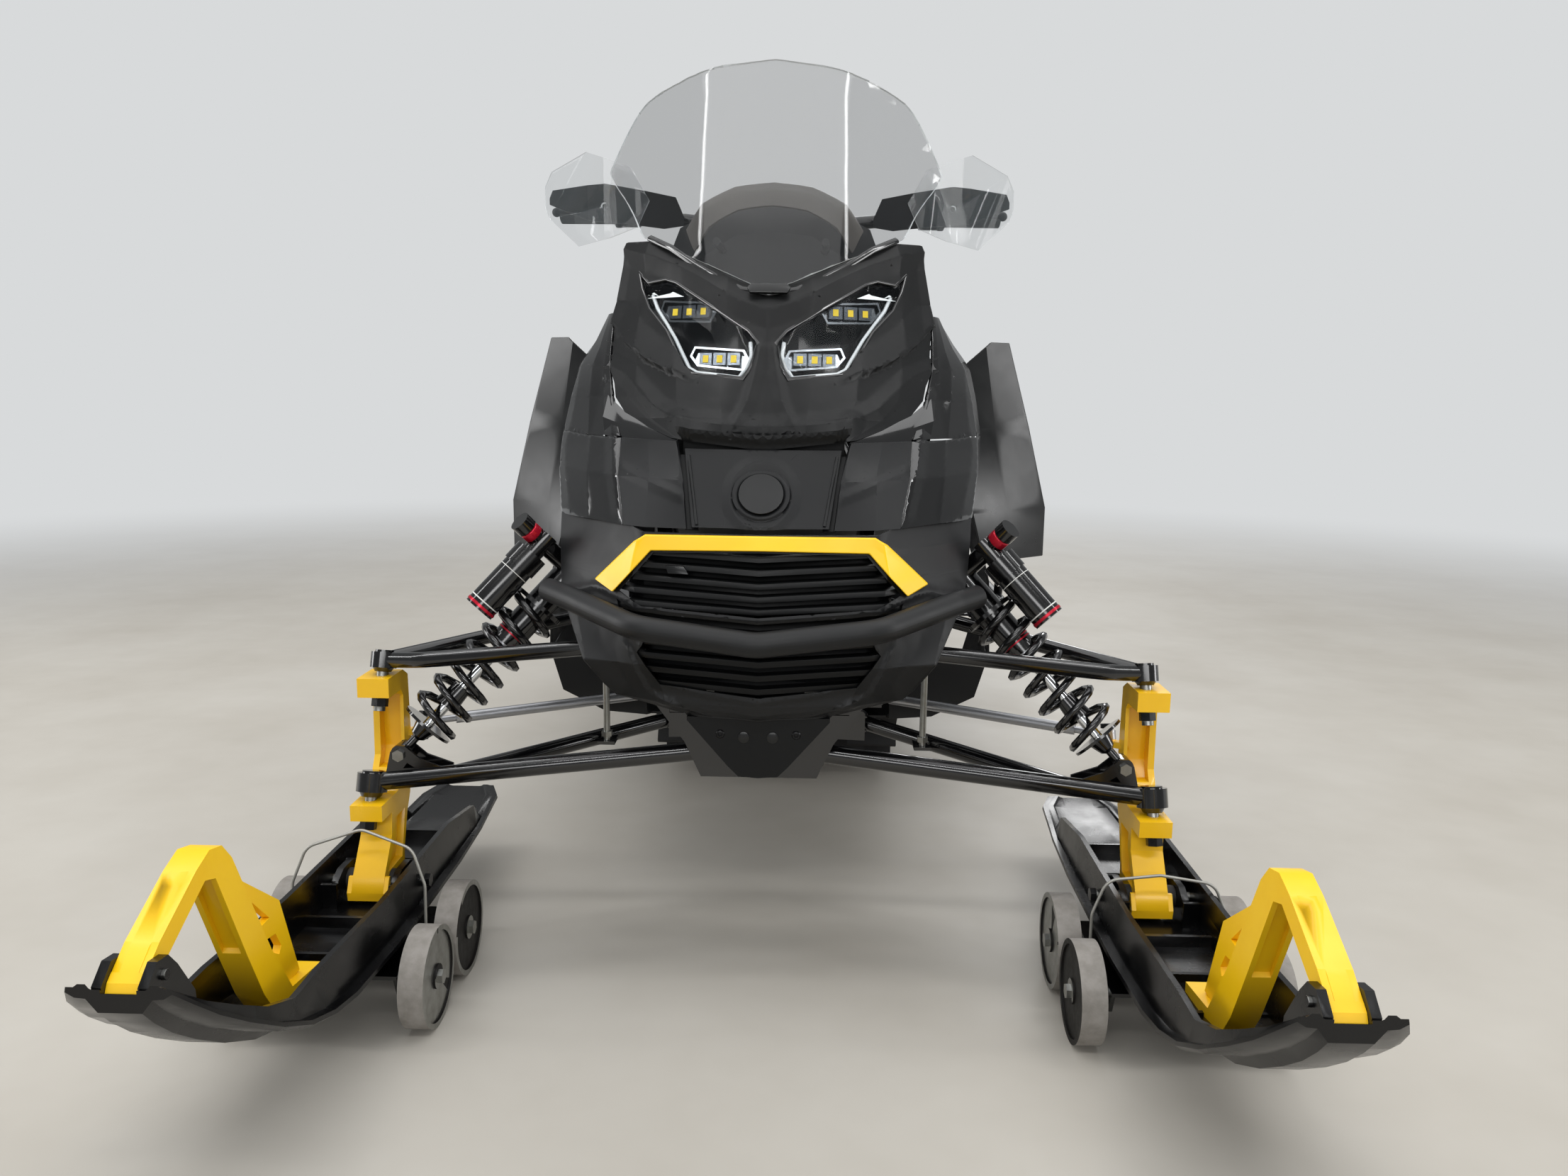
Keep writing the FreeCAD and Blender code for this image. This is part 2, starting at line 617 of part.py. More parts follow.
def reservoir_side():
    """Direction from the shock's axis to its reservoir: outward, forward and up."""
    lean = V(0.575, -0.446, 0.686)
    return unit(lean.sub(V(SHOCK_AXIS).multiply(lean.dot(SHOCK_AXIS))))


def reservoir():
    """Reservoir can with its neck to the body, collar and adjuster."""
    side = reservoir_side()
    low = step(shock_point(RESERVOIR_START), side, RESERVOIR_OFFSET)
    high = RESERVOIR_END - RESERVOIR_START
    elbow = high + 18
    collar = RESERVOIR_R + 2.5
    can = turned(low, SHOCK_AXIS, side.cross(SHOCK_AXIS),
                 [(0, 0), (0, RESERVOIR_R), (high - 30, RESERVOIR_R), (high - 30, collar), (high - 2, collar),
                  (high - 2, 15), (elbow + 14, 15), (elbow + 14, 0)])
    stem = turned(shock_point(RESERVOIR_START + elbow), side, SHOCK_AXIS,
                  [(0, 0), (0, 13), (RESERVOIR_OFFSET, 13), (RESERVOIR_OFFSET, 12), (RESERVOIR_OFFSET + 30, 12),
                   (RESERVOIR_OFFSET + 30, 15), (RESERVOIR_OFFSET + 46, 15), (RESERVOIR_OFFSET + 46, 0)])
    return [can, stem]


def spring():
    """Coil spring between the lower cup and the body's seat ring."""
    start = shock_point(SPRING_START)
    rise = SPRING_END - SPRING_START - 2 * SPRING_WIRE
    per_turn = 10
    count = int(round(per_turn * SPRING_TURNS))
    side = unit(SHOCK_AXIS.cross(ALONG))
    other = SHOCK_AXIS.cross(side)
    points = []
    for index in range(count + 1):
        angle = 2 * math.pi * index / per_turn
        height = SPRING_WIRE + rise * index / count
        point = step(start, SHOCK_AXIS, height)
        point = step(step(point, side, SPRING_R * math.cos(angle)), other, SPRING_R * math.sin(angle))
        points.append(point)
    path = Part.makePolygon(points)
    tangent = points[1].sub(points[0])
    across = unit(tangent.cross(SHOCK_AXIS))
    lift = unit(across.cross(tangent))
    corners = []
    for index in range(6):
        angle = 2 * math.pi * index / 6
        corner = step(points[0], across, SPRING_WIRE * math.cos(angle))
        corners.append(step(corner, lift, SPRING_WIRE * math.sin(angle)))
    profile = polygon(corners)
    pipe = Part.BRepOffsetAPI.MakePipeShell(path)
    pipe.setTransitionMode(1)
    pipe.setFrenetMode(True)
    pipe.add(profile)
    pipe.build()
    pipe.makeSolid()
    return pipe.shape()


def tie_rod():
    """Aluminium tie rod with an eye on the steering arm's stud."""
    eye_centre = step(spot(STEER_ARM_END), KINGPIN, STEER_ARM_T / 2 + CLEARANCE + ROD_EYE_H / 2)
    inner = spot(TIE_ROD_INNER)
    eye = drum(eye_centre, KINGPIN, ROD_EYE_R, ROD_EYE_H)
    direction = unit(inner.sub(eye_centre))
    shank = rod(eye_centre, step(eye_centre, direction, 50), 5)
    tube = rod(step(eye_centre, direction, 46), step(inner, direction, -20), TIE_ROD_R)
    tail = rod(step(inner, direction, -24), inner, 5)
    end = drum(inner, UPWARD, 11, 12)
    return union([eye, shank, tube, tail, end]).cut(drum(eye_centre, KINGPIN, SHOCK_BOLT_R + CLEARANCE, 60))


# Front body panels: each is a wall that follows a plan line at several heights

def full_line(half):
    """Plan line across the machine from its left half, centre first."""
    centre = half[0][0] == 0
    right = [(-x, back) for x, back in reversed(half[1:] if centre else half)]
    return right + list(half)


def offset_line(line, distance):
    """Plan line moved inward, to the rear, by a distance square to its runs."""
    normals = []
    for (x0, b0), (x1, b1) in zip(line, line[1:]):
        length = math.hypot(x1 - x0, b1 - b0)
        normals.append((-(b1 - b0) / length, (x1 - x0) / length))
    moved = []
    for index, (x, back) in enumerate(line):
        before = normals[max(index - 1, 0)]
        after = normals[min(index, len(normals) - 1)]
        mean = (before[0] + after[0], before[1] + after[1])
        size = math.hypot(*mean)
        mean = (mean[0] / size, mean[1] / size)
        reach = distance / max(mean[0] * after[0] + mean[1] * after[1], 0.5)
        moved.append((x + mean[0] * reach, back + mean[1] * reach))
    return moved


def wall(levels, thickness, inset=0.0):
    """Solid wall through plan lines given as (z, line) pairs."""
    sections = []
    for z, line in levels:
        outer = offset_line(line, inset) if inset else list(line)
        inner = offset_line(line, inset + thickness)
        sections.append([at(x, back, z) for x, back in outer + inner[::-1]])
    return loft(sections)


MASK_LEVELS = [
    (748, [(0, 8), (55, 11), (100, 16), (109, 19), (114, 24)]),
    (775, [(0, 28), (55, 34), (110, 60), (160, 104), (200, 150)]),
    (803, [(0, 48), (60, 56), (125, 98), (185, 150), (227, 206)]),
    (850, [(0, 85), (60, 95), (130, 140), (195, 200), (240, 262)]),
    (900, [(0, 122), (60, 135), (130, 180), (198, 240), (245, 310)]),
    (950, [(0, 161), (60, 174), (130, 220), (198, 276), (244, 345)]),
    (1037, [(0, 228), (60, 240), (125, 270), (188, 304), (228, 352)]),
]

FLANK_LEVELS = [
    (640.3, [(95, -55), (150, -43), (182, -20), (240, 50), (294, 135), (318, 300), (322, 640)]),
    (700, [(104, -20), (150, 2), (197, 36), (250, 96), (306, 190), (332, 340), (330, 660)]),
    (748, [(117, 26), (160, 66), (204, 112), (258, 166), (312, 250), (338, 380), (332, 680)]),
]

SHOULDER_LEVELS = [
    (750, [(207, 116), (232, 142), (262, 174), (312, 254), (338, 382), (332, 680)]),
    (803, [(233, 210), (246, 222), (272, 246), (308, 300), (333, 412), (326, 680)]),
    (850, [(246, 266), (256, 276), (276, 300), (300, 345), (322, 430), (312, 650)]),
    (932, [(250, 335), (254, 342), (258, 352), (263, 368), (268, 420), (262, 560)]),
]

COWL_LEVELS = [
    (396, [(0, -76), (62, -68), (95, -56)]),
    (414, [(0, -88), (118, -66), (190, -34)]),
    (465, [(0, -98), (140, -76), (229, -44)]),
    (540, [(0, -104), (160, -76), (276, 36)]),
    (575, [(0, -98), (165, -60), (284, 70)]),
    (610, [(0, -78), (158, -52), (290, 100)]),
    (640, [(0, -66), (152, -48), (294, 130)]),
]

BROW_OUTLINE = [(0, 634), (148, 632), (164, 622), (222, 566), (192, 555), (140, 612), (0, 616)]
UPPER_GRILLE = [(0, 613), (137, 609), (184, 556), (150, 541), (0, 533)]
MIDDLE_GRILLE = [(0, 527), (150, 535), (186, 547), (178, 516), (140, 506), (0, 496)]
LOWER_GRILLE = [(0, 492), (146, 500), (158, 480), (128, 438), (0, 426)]

LAMP_OUTLINE = [(204, 992), (186, 974), (158, 978), (140, 972), (84, 936), (26, 898), (12, 880),
                (18, 850), (30, 830), (104, 838), (118, 846), (150, 900), (182, 934), (196, 964)]


def mirrored_outline(half):
    """Whole outline from its left half, which starts and ends on the centre plane."""
    return half + [(-x, z) for x, z in reversed(half) if x]


def inset_outline(outline, distance):
    """Closed outline with every side moved inward by a distance."""
    line = [outline[-1]] + outline + [outline[0]]
    return offset_line(line, distance)[1:-1]


def windshield_notch(margin):
    """Space above the line where the windshield meets the hood."""
    outline = [(0, 952 - margin), (186 + margin, 1038 - margin), (186 + margin, 1160),
               (-186 - margin, 1160), (-186 - margin, 1038 - margin)]
    return front_prism(outline, 0, 600)


def hood():
    """Hood mask with its lip, lamp openings and the notch for the windshield."""
    levels = [(z, full_line(half)) for z, half in MASK_LEVELS]
    lip_line = full_line([(0, 4), (54, 7), (98, 12), (109, 17), (117, 24)])
    lip_low = full_line([(0, 7), (54, 10), (97, 15), (107, 20), (112, 26)])
    shell = wall(levels, PANEL_T)
    lip = front_prism(mirrored_outline([(0, 738), (108, 750), (112, 764), (0, 754)]), -40, 90)
    lip_wall = wall([(732, lip_low), (775, lip_line)], 9)
    shell = shell.cut(front_prism(mirrored_outline([(0, 700), (130, 700), (130, 752), (0, 740)]), -60, 60))
    shell = union([shell, lip_wall.common(lip)])
    for outline in (LAMP_OUTLINE, [(-x, z) for x, z in LAMP_OUTLINE]):
        shell = shell.cut(front_prism(outline, -20, 500))
    return shell.cut(windshield_notch(0))


def lamp_pair(make):
    """A lamp's piece and its mirror image."""
    return both(make())


def lamp_lens():
    """Clear lens set just behind the hood's surface."""
    levels = [(z, full_line(half)) for z, half in MASK_LEVELS]
    sheet = wall(levels, LENS_T, 2)
    return sheet.common(front_prism(inset_outline(LAMP_OUTLINE, 1), -20, 500))


def lamp_bucket():
    """Lamp housing behind the lens, open to the front."""
    levels = [(z, full_line(half)) for z, half in MASK_LEVELS]
    depth = 44.0
    body = wall(levels, depth, 2 + LENS_T + CLEARANCE)
    body = body.common(front_prism(inset_outline(LAMP_OUTLINE, 1), -20, 500))
    hollow = wall(levels, depth - 5, 2 + LENS_T)
    hollow = hollow.common(front_prism(inset_outline(LAMP_OUTLINE, 4), -20, 500))
    return body.cut(hollow)


def hood_panel():
    """Centre panel between the hood's lip and the brow, with a seat for the disc."""
    levels = [(642, full_line([(0, -60), (46, -58), (88, -52)])), (738.9, full_line([(0, 1.9), (52, 4.9), (104, 15.9)]))]
    panel = wall(levels, PANEL_T)
    centre, normal = disc_seat()
    ring = drum(centre, normal, DISC_R + 7, 6)
    return union([panel, ring]).cut(drum(step(centre, normal, 4), normal, DISC_R + CLEARANCE, 5))


def disc_seat():
    """Centre and outward direction of the round disc on the centre panel."""
    slope = 60.0 / 94.0
    centre = at(0, -60 + slope * (DISC_Z - 642), DISC_Z)
    return centre, unit(V(0, -1, slope))


def badge_disc():
    """Plain round disc in its seat."""
    centre, normal = disc_seat()
    return drum(step(centre, normal, 4 + CLEARANCE), normal, DISC_R, 4)


def cheek_panel():
    """Matte panel beside the centre panel."""
    return wall([(z, line[:3]) for z, line in FLANK_LEVELS], PANEL_T)


def side_panel():
    """Gloss panel that wraps from the cheek round to the flank."""
    low = wall([(z, [(line[2][0] + PANEL_GAP, line[2][1] + PANEL_GAP)] + line[3:]) for z, line in FLANK_LEVELS],
               PANEL_T)
    high = wall(SHOULDER_LEVELS, PANEL_T)
    return union([low, high])


def nose_cowl():
    """Nose cowl with the brow's seat and the three grille openings."""
    levels = [(z, full_line(half)) for z, half in COWL_LEVELS]
    shell = wall(levels, 5)
    floor = plan_prism([(-95, -54), (-62, -66), (0, -74), (62, -66), (95, -54), (100, -37), (-100, -37)], 393 + CLEARANCE, 399)
    shell = union([shell, floor])
    for half in (UPPER_GRILLE, MIDDLE_GRILLE, LOWER_GRILLE):
        shell = shell.cut(front_prism(mirrored_outline(half), -160, 60))
    top = [(0, 634.5), (150, 634.5), (200, 648), (330, 660), (0, 660)]
    return shell.cut(front_prism(mirrored_outline(top), -160, 200))


def grille_backs():
    """Back wall behind each grille opening, with ribs shaped like a chevron."""
    levels = [(z, full_line(half)) for z, half in COWL_LEVELS]
    backing = wall(levels, 3, 24)
    ribs = []
    pieces = []
    for half, count, rise in ((UPPER_GRILLE, 5, 6), (MIDDLE_GRILLE, 2, 8), (LOWER_GRILLE, 4, 8)):
        low = min(z for _, z in half)
        high = max(z for _, z in half)
        opening = mirrored_outline(half)
        solid = front_prism(opening, -160, 60)
        pieces.append(backing.common(solid))
        pitch = (high - low) / count
        for index in range(count):
            z = low + pitch * (index + 0.25)
            rib = [(0, z), (190, z + rise), (190, z + rise + pitch * 0.42), (0, z + pitch * 0.42)]
            slab = wall(levels, 22, 3).common(front_prism(mirrored_outline(rib), -160, 60))
            ribs.append(slab.common(solid))
    return union(pieces + ribs)


def brow_trim():
    """Raised strip over the upper grille."""
    levels = [(z, full_line(half)) for z, half in COWL_LEVELS]
    strip = wall(levels, 7, -7)
    return strip.common(front_prism(mirrored_outline(BROW_OUTLINE), -160, 200))


def front_bumper():
    """Bumper tube across the nose with a stay at each side."""
    points = [at(-291, 24, 544), at(-256, -18, 541), at(-152, -124, 524), at(0, -148, 509), at(152, -124, 524),
              at(256, -18, 541), at(291, 24, 544)]
    levels = [(z, full_line(half)) for z, half in COWL_LEVELS]
    stays = both(rod(at(200, -74, 532), at(200, -20, 532), 9))
    bar = union([bent_tube(points, BUMPER_R, 60)] + stays)
    return bar.cut(wall(levels, 60, -CLEARANCE))


def skid_plate():
    """V-shaped plate under the nose that guards the front of the frame."""
    face = [(0, 310), (26, 312), (40, 326), (94, 388), (94, 393), (0, 393)]
    plate = front_prism(mirrored_outline(face), -60, -52)
    keel = front_prism(mirrored_outline([(0, 314), (24, 316), (88, 390), (0, 390)]), -52, FRAME_PLATES[0] - CLEARANCE)
    hollow = front_prism(mirrored_outline([(0, 322), (20, 323), (76, 391), (0, 391)]), -52, FRAME_PLATES[0])
    plate = union([plate, keel.cut(hollow)])
    for side in (-1, 1):
        plate = plate.cut(drum(at(side * 50, -56, 370), ALONG, 5, 40))
    return plate


def shell_along(stations, thickness, inset=0.0):
    """Shell through cross-section lines given as (back, half line of (x, z)) pairs."""
    sections = []
    for back, half in stations:
        line = full_line(half)
        outer = offset_line(line, inset) if inset else line
        inner = offset_line(line, inset + thickness)
        sections.append([at(x, back, z) for x, z in outer + inner[::-1]])
    return loft(sections)


def windshield():
    """Wrapped windshield: a front pane and two folded sides, cut to its outline."""
    levels = [(945, [(0, 154), (100, 188), (180, 250), (200, 300)]),
              (1041, [(0, 205), (100, 234), (186, 300), (222, 352)]),
              (1152, [(0, 265), (100, 288), (176, 346), (264, 404)]),
              (1254, [(0, 318), (100, 336), (162, 384), (219, 420)]),
              (1312, [(0, 350), (100, 365), (150, 398), (186, 420)])]
    sheet = wall([(z, full_line(half)) for z, half in levels], SCREEN_T)
    outline = [(0, 952.4), (186, 1038.4), (200, 1045), (222, 1092), (263, 1146), (261, 1160), (220, 1246), (190, 1272),
               (110, 1300), (0, 1311)]
    return sheet.common(front_prism(mirrored_outline(outline), 0, 700))


def side_deflector():
    """Small clear pane beside the hood, under the hand guard."""
    outline = [(238, 1030), (262, 1082), (290, 1078), (296, 1004), (316, 950), (300, 940), (262, 942), (246, 960)]
    pane = front_prism(outline, 372, 375)
    foot = plan_prism([(244.17, 345.25), (262, 352), (262, 372), (240.87, 372), (240.87, 347.45)], 946, 960)
    return union([pane, foot])


CONSOLE_STATIONS = [
    (342, [(0, 1060), (60, 1052), (118, 1015), (140, 960), (136, 900)]),
    (400, [(0, 1118), (80, 1106), (152, 1070), (188, 980), (180, 880)]),
    (500, [(0, 1080), (70, 1070), (150, 1030), (215, 940), (205, 820)]),
    (560, [(0, 1004), (60, 996), (140, 950), (212, 870), (205, 740)]),
    (700, [(0, 950), (60, 944), (125, 900), (200, 800), (195, 635)]),
    (845, [(0, 884), (60, 878), (120, 838), (180, 740), (172, 628.2)]),
]


def steer_axis():
    """Direction of the steering column, upward."""
    tilt = math.radians(STEER_TILT)
    return V(0, math.sin(tilt), math.cos(tilt))


def console():
    """Dash and tank cover: a shell over the steering column, closed at its front."""
    shell = shell_along(CONSOLE_STATIONS, -PANEL_T)
    back, half = CONSOLE_STATIONS[0]
    outline = mirrored_outline([(0, half[-1][1])] + half[::-1][:-1] + [half[0]])
    front = front_prism(outline, back, back + PANEL_T)
    posts = both(rod(at(80, 229, 1030), at(80, back + 2, 1030), 6))
    shell = union([shell, front] + posts)
    top = spot(STEER_TOP)
    return shell.cut(rod(step(top, steer_axis(), -COLUMN_LENGTH), step(top, steer_axis(), 20), COLUMN_R + 8))


def side_fin():
    """Outer air deflector in front of the rider's leg."""
    levels = [(500, [(370, 601), (440, 680), (522, 748), (526, 860)]),
              (595, [(346, 626), (440, 690), (522, 748), (528, 880)]),
              (750, [(333, 668), (410, 692), (480, 730), (500, 890)]),
              (908, [(324, 668), (385, 688), (434, 722), (450, 840)])]
    outline = [(372, 470), (540, 470), (540, 800), (460, 912), (400, 912), (328, 850), (328, 560)]
    return wall(levels, PANEL_T).common(front_prism(outline, 560, 920))


def lower_side_panel():
    """Matte panel under the gloss side panel, back to the foot well."""
    levels = [(398 + CLEARANCE, [(358, 318), (366, 420), (366, 577)]),
              (520, [(350, 300), (364, 420), (368, 600)]),
              (640, [(318, 304), (330, 420), (332, 640)])]
    return wall(levels, PANEL_T)


def belly_pan():
    """Pan under the engine, with a bulge at each side and a closed front."""
    stations = [(302, [(0, 290), (190, 290), (266, 296), (334, 330), (354, 398)]),
                (420, [(0, 262), (200, 262), (286, 272), (346, 316), (366, 398)]),
                (TUNNEL_FRONT - CLEARANCE, [(0, 262), (200, 262), (284, 270), (344, 316), (366, 398)])]
    shell = shell_along(stations, PANEL_T)
    back, half = stations[0]
    front = front_prism(mirrored_outline([(0, 398), half[-1]] + half[::-1][1:-1] + [half[0]]), back, back + PANEL_T)
    clear = block(-197, 197, back - 10, FRAME_PLATES[3] + 8, 240, 400)
    return union([shell, front]).cut(clear)


def engine_block():
    """Plain block in place of the engine."""
    return block(-190, 190, FRAME_PLATES[3] + 4 + CLEARANCE, 526, 300, 690)


def frame_plate(back, outline, holes):
    """Bulkhead plate across the machine with windows."""
    plate = front_prism(mirrored_outline(outline), back, back + 4)
    for hole in holes:
        for side in (1, -1):
            plate = plate.cut(front_prism([(side * x, z) for x, z in hole], back - 1, back + 5))
    return plate


def bulkheads():
    """Four plates across the machine, open where arms and tie rods pass, bored for what they carry."""
    window = [(60, 390), (120, 390), (120, 455), (60, 455)]
    slot = [(96, 316), (300, 316), (300, 366), (96, 366)]
    front = [(0, 302), (78, 302), (100, 350), (180, 456), (184, 496), (0, 504)]
    middle = [(0, 296), (60, 296), (96, 270), (156, 268), (156, 312), (90, 380), (90, 400), (190, 456), (192, 504),
              (0, 510)]
    rear = [(0, 296), (188, 296), (192, 504), (0, 510)]
    plates = [frame_plate(FRAME_PLATES[0], front, [window]), frame_plate(FRAME_PLATES[1], front, [window]),
              frame_plate(FRAME_PLATES[2], middle, [slot, window]), frame_plate(FRAME_PLATES[3], rear, [window])]
    carried = front_frame()
    return [plate.cut(carried) for plate in plates]


def front_frame():
    """Pins and rails between the bulkheads, shock tower, and the pyramid up to the steering head."""
    pieces = []
    for side in (1, -1):
        for place in (UPPER_FRONT_PIVOT, UPPER_REAR_PIVOT, LOWER_FRONT_PIVOT, LOWER_REAR_PIVOT):
            x, back, z = place
            first = 0 if back < FRAME_PLATES[1] else 2
            near = FRAME_PLATES[first] + 2
            far = FRAME_PLATES[first + 1] + 2
            pieces.append(rod(at(side * x, near, z), at(side * x, far, z), ARM_BOLT_R - CLEARANCE))
        x0, x1 = sorted((side * 26, side * 44))
        pieces.append(block(x0, x1, FRAME_PLATES[0] + 2, FRAME_PLATES[3] + 2, 318, 352))
        x0, x1 = sorted((side * 118, side * 140))
        pieces.append(block(x0, x1, FRAME_PLATES[0] + 2, FRAME_PLATES[3] + 2, 486, 496))
        x0, x1 = sorted((side * 132, side * 144))
        hanger = block(x0, x1, FRAME_PLATES[2] + 2, FRAME_PLATES[3] + 2, 418, 456)
        pieces.append(hanger.cut(drum(at(side * 138, 300, 436), ACROSS, 8 + CLEARANCE, 40)))
        x, back, z = SHOCK_TOP
        tower = at(side * (x - 48), back, z)
        ear = [(x - 52, z - 16), (x, z - 16), (x + 14, z - 6), (x + 14, z + 12), (x, z + 18), (x - 52, z + 18)]
        for turn in (-1, 1):
            near = back + turn * (SHOCK_EYE_W / 2 + CLEARANCE)
            far = near + turn * 5
            pieces.append(front_prism([(side * a, b) for a, b in ear], min(near, far), max(near, far)))
        pieces.append(rod(at(side * x, back - 20, z), at(side * x, back + 20, z), SHOCK_BOLT_R))
        pieces.append(block(min(side * (x - 52), side * (x - 46)), max(side * (x - 52), side * (x - 46)),
                            back - 17, back + 17, z - 16, z + 18))
        pieces.append(rod(tower, at(side * 128, 40, 490), 12))
        pieces.append(rod(tower, at(side * 128, 300, 490), 12))
        head = step(spot(STEER_TOP), steer_axis(), -BEARING_AT)
        pieces.append(rod(tower, head.add(V(side * 24, 0, 0)), 12))
        pieces.append(rod(head.add(V(side * 24, 0, 0)), at(side * 190, TUNNEL_FRONT - 14, 612), 12))
        x0, x1 = sorted((side * 174, side * 206))
        pieces.append(block(x0, x1, TUNNEL_FRONT - 26, TUNNEL_FRONT - CLEARANCE, 592, 628))
    x, back, z = SHOCK_TOP
    pieces.append(rod(at(-x + 50, back, z), at(x - 50, back, z), 14))
    pieces.append(drum(head, steer_axis(), 30, 44))
    frame = union(pieces)
    return frame.cut(drum(head, steer_axis(), COLUMN_R + CLEARANCE, 60))


def shock_low_bolt():
    """Bolt through the lower arm's ears and the shock's eye."""
    x, back, z = SHOCK_LOW
    grip = SHOCK_EYE_W / 2 + CLEARANCE + 4
    bolt = rod(at(x, back - grip - 5, z), at(x, back + grip + 5, z), SHOCK_BOLT_R)
    heads = [hex_nut(at(x, back + side * (grip + 2.5), z), ALONG, 15, 5, 0) for side in (-1, 1)]
    return union([bolt] + heads)


def sway_link():
    """Upright link that stands on the tab of the lower arm's rear tube."""
    x, back, z = SWAY_LINK
    foot = at(x, back, 291.5 + CLEARANCE)
    head = at(x, back, z)
    nut = hex_nut(step(foot, UPWARD, 10), UPWARD, 15, 8, 0)
    return [union([rod(foot, head, 5), drum(head, ALONG, 12, 14), nut])]


def sway_bar():
    """Bar between the two links, in the frame's bulkheads."""
    x, back, z = SWAY_LINK
    arm = rod(at(x, back + 11 + CLEARANCE, z), at(206, 300, 436), 7)
    eye = drum(at(x, back + 11 + CLEARANCE, z), ALONG, 10, 8)
    return union([arm, eye, rod(at(206, 300, 436), at(0, 300, 436), 8)])


# Tunnel, boards, seat and what is on them

def tunnel_top(back):
    """Height of the tunnel's top at a distance back."""
    share = (back - TUNNEL_FRONT) / (TUNNEL_END - TUNNEL_FRONT)
    return TUNNEL_TOP_FRONT + (TUNNEL_TOP_REAR - TUNNEL_TOP_FRONT) * share


def tunnel():
    """Folded tunnel over the track, with chamfered upper edges and a closed front."""
    def section(back, inset):
        half = TUNNEL_HALF - inset
        top = tunnel_top(back) - inset
        edge = 36.0
        low = BOARD_Z if inset == 0 else BOARD_Z - 1
        return [at(x, back, z) for x, z in ((-half, low), (-half, top - edge), (-half + edge, top), (half - edge, top),
                                             (half, top - edge), (half, low))]
    outer = loft([section(TUNNEL_FRONT, 0), section(TUNNEL_END, 0)])
    inner = loft([section(TUNNEL_FRONT + TUNNEL_T, TUNNEL_T), section(TUNNEL_END + 1, TUNNEL_T)])
    reach = TUNNEL_HALF + 30
    axle = rod(at(-reach, SPROCKET[0], SPROCKET[1]), at(reach, SPROCKET[0], SPROCKET[1]), AXLE_R + CLEARANCE)
    cheeks = []
    for side in (1, -1):
        x0, x1 = sorted((side * (TUNNEL_HALF - TUNNEL_T), side * TUNNEL_HALF))
        cheeks.append(side_prism([(TUNNEL_FRONT, BOARD_Z), (TUNNEL_FRONT, 270), (800, 270), (880, BOARD_Z)], x0, x1))
        back, z = SKID_FRONT_PIVOT
        cheeks.append(side_prism([(back - 60, BOARD_Z), (back - 26, z - 28), (back + 26, z - 28), (back + 60, BOARD_Z)], x0, x1))
        back, z = SKID_REAR_PIVOT
        cheeks.append(side_prism([(back - 60, BOARD_Z), (back - 26, z - 28), (CARRIER[0] + 26, z - 28),
                                  (CARRIER[0] + 60, BOARD_Z)], x0, x1))
    front = block(-TUNNEL_HALF, TUNNEL_HALF, TUNNEL_FRONT, TUNNEL_FRONT + TUNNEL_T, 270, BOARD_Z)
    return union([outer.cut(inner), front] + cheeks).cut(axle)


def running_board():
    """Running board with grip slots, a rolled outer edge and a toe stop."""
    inner = TUNNEL_HALF + CLEARANCE
    outline = [(inner, 640), (inner + 98, 640), (BOARD_OUT, 780), (BOARD_OUT, 1560), (inner + 82, 2020), (inner, 2060)]
    board = plan_prism(outline, BOARD_Z, BOARD_Z + BOARD_T)
    for index in range(7):
        back = 860 + 100 * index
        for x in (inner + 32, inner + 82, inner + 132):
            board = board.cut(block(x, x + 34, back, back + 62, BOARD_Z - 1, BOARD_Z + BOARD_T + 1))
    edge = rod(at(BOARD_OUT, 780, BOARD_Z + 4), at(BOARD_OUT, 1560, BOARD_Z + 4), 9)
    tail = rod(at(BOARD_OUT, 1560, BOARD_Z + 4), at(inner + 82, 2020, BOARD_Z + 4), 9)
    nose = rod(at(BOARD_OUT, 780, BOARD_Z + 4), at(inner + 104, 650, BOARD_Z + 4), 9)
    flange = block(inner, inner + BOARD_T, 640, 2040, BOARD_Z, BOARD_Z + 34)
    toe = bent_tube([at(inner + 6, 770, BOARD_Z + 128), at(inner + 82, 770, BOARD_Z + 132), at(BOARD_OUT, 800, BOARD_Z + 110),
                     at(BOARD_OUT, 840, BOARD_Z + 8)], 9, 60)
    return union([board, edge, tail, nose, flange, toe])


def seat():
    """Seat cushion: a stepped wedge with rounded shoulders."""
    def section(back, low, high, half):
        return [at(x, back, z) for x, z in ((-half, low), (-half - 14, low + 0.45 * (high - low)), (-half + 8, high - 22),
                                             (-half + 46, high), (half - 46, high), (half - 8, high - 22),
                                             (half + 14, low + 0.45 * (high - low)), (half, low))]
    rows = [(852, 120, 852, 112), (900, 0, 858, 132), (1050, 0, 838, 150), (1300, 0, 832, SEAT_HALF),
            (1430, 0, 858, SEAT_HALF), (1640, 0, 850, 156), (1730, 0, 790, 140)]
    return loft([section(back, tunnel_top(back) + lift + CLEARANCE, high, half) for back, lift, high, half in rows])


def cargo_rack():
    """Rack rails with posts on the tunnel, and the rear grab bumper."""
    pieces = []
    for side in (1, -1):
        z = tunnel_top(1800) + 46
        rail = [at(side * 198, 1770, tunnel_top(1770) + 15), at(side * 200, 1800, z), at(side * 200, 2180, z - 12),
                at(side * 150, 2290, z - 6)]
        pieces.append(bent_tube(rail, 10, 50))
        for back in (1900, 2080):
            pieces.append(rod(at(side * 200, back, tunnel_top(back) + CLEARANCE), at(side * 200, back, z - 4), 8))
    z = grab_bar_z()
    pieces.append(rod(at(-152, 2288, z), at(152, 2288, z), 10))
    for back in (1900, 2060):
        pieces.append(rod(at(-200, back, z - 4), at(200, back, z - 4), 7))
    return union(pieces)


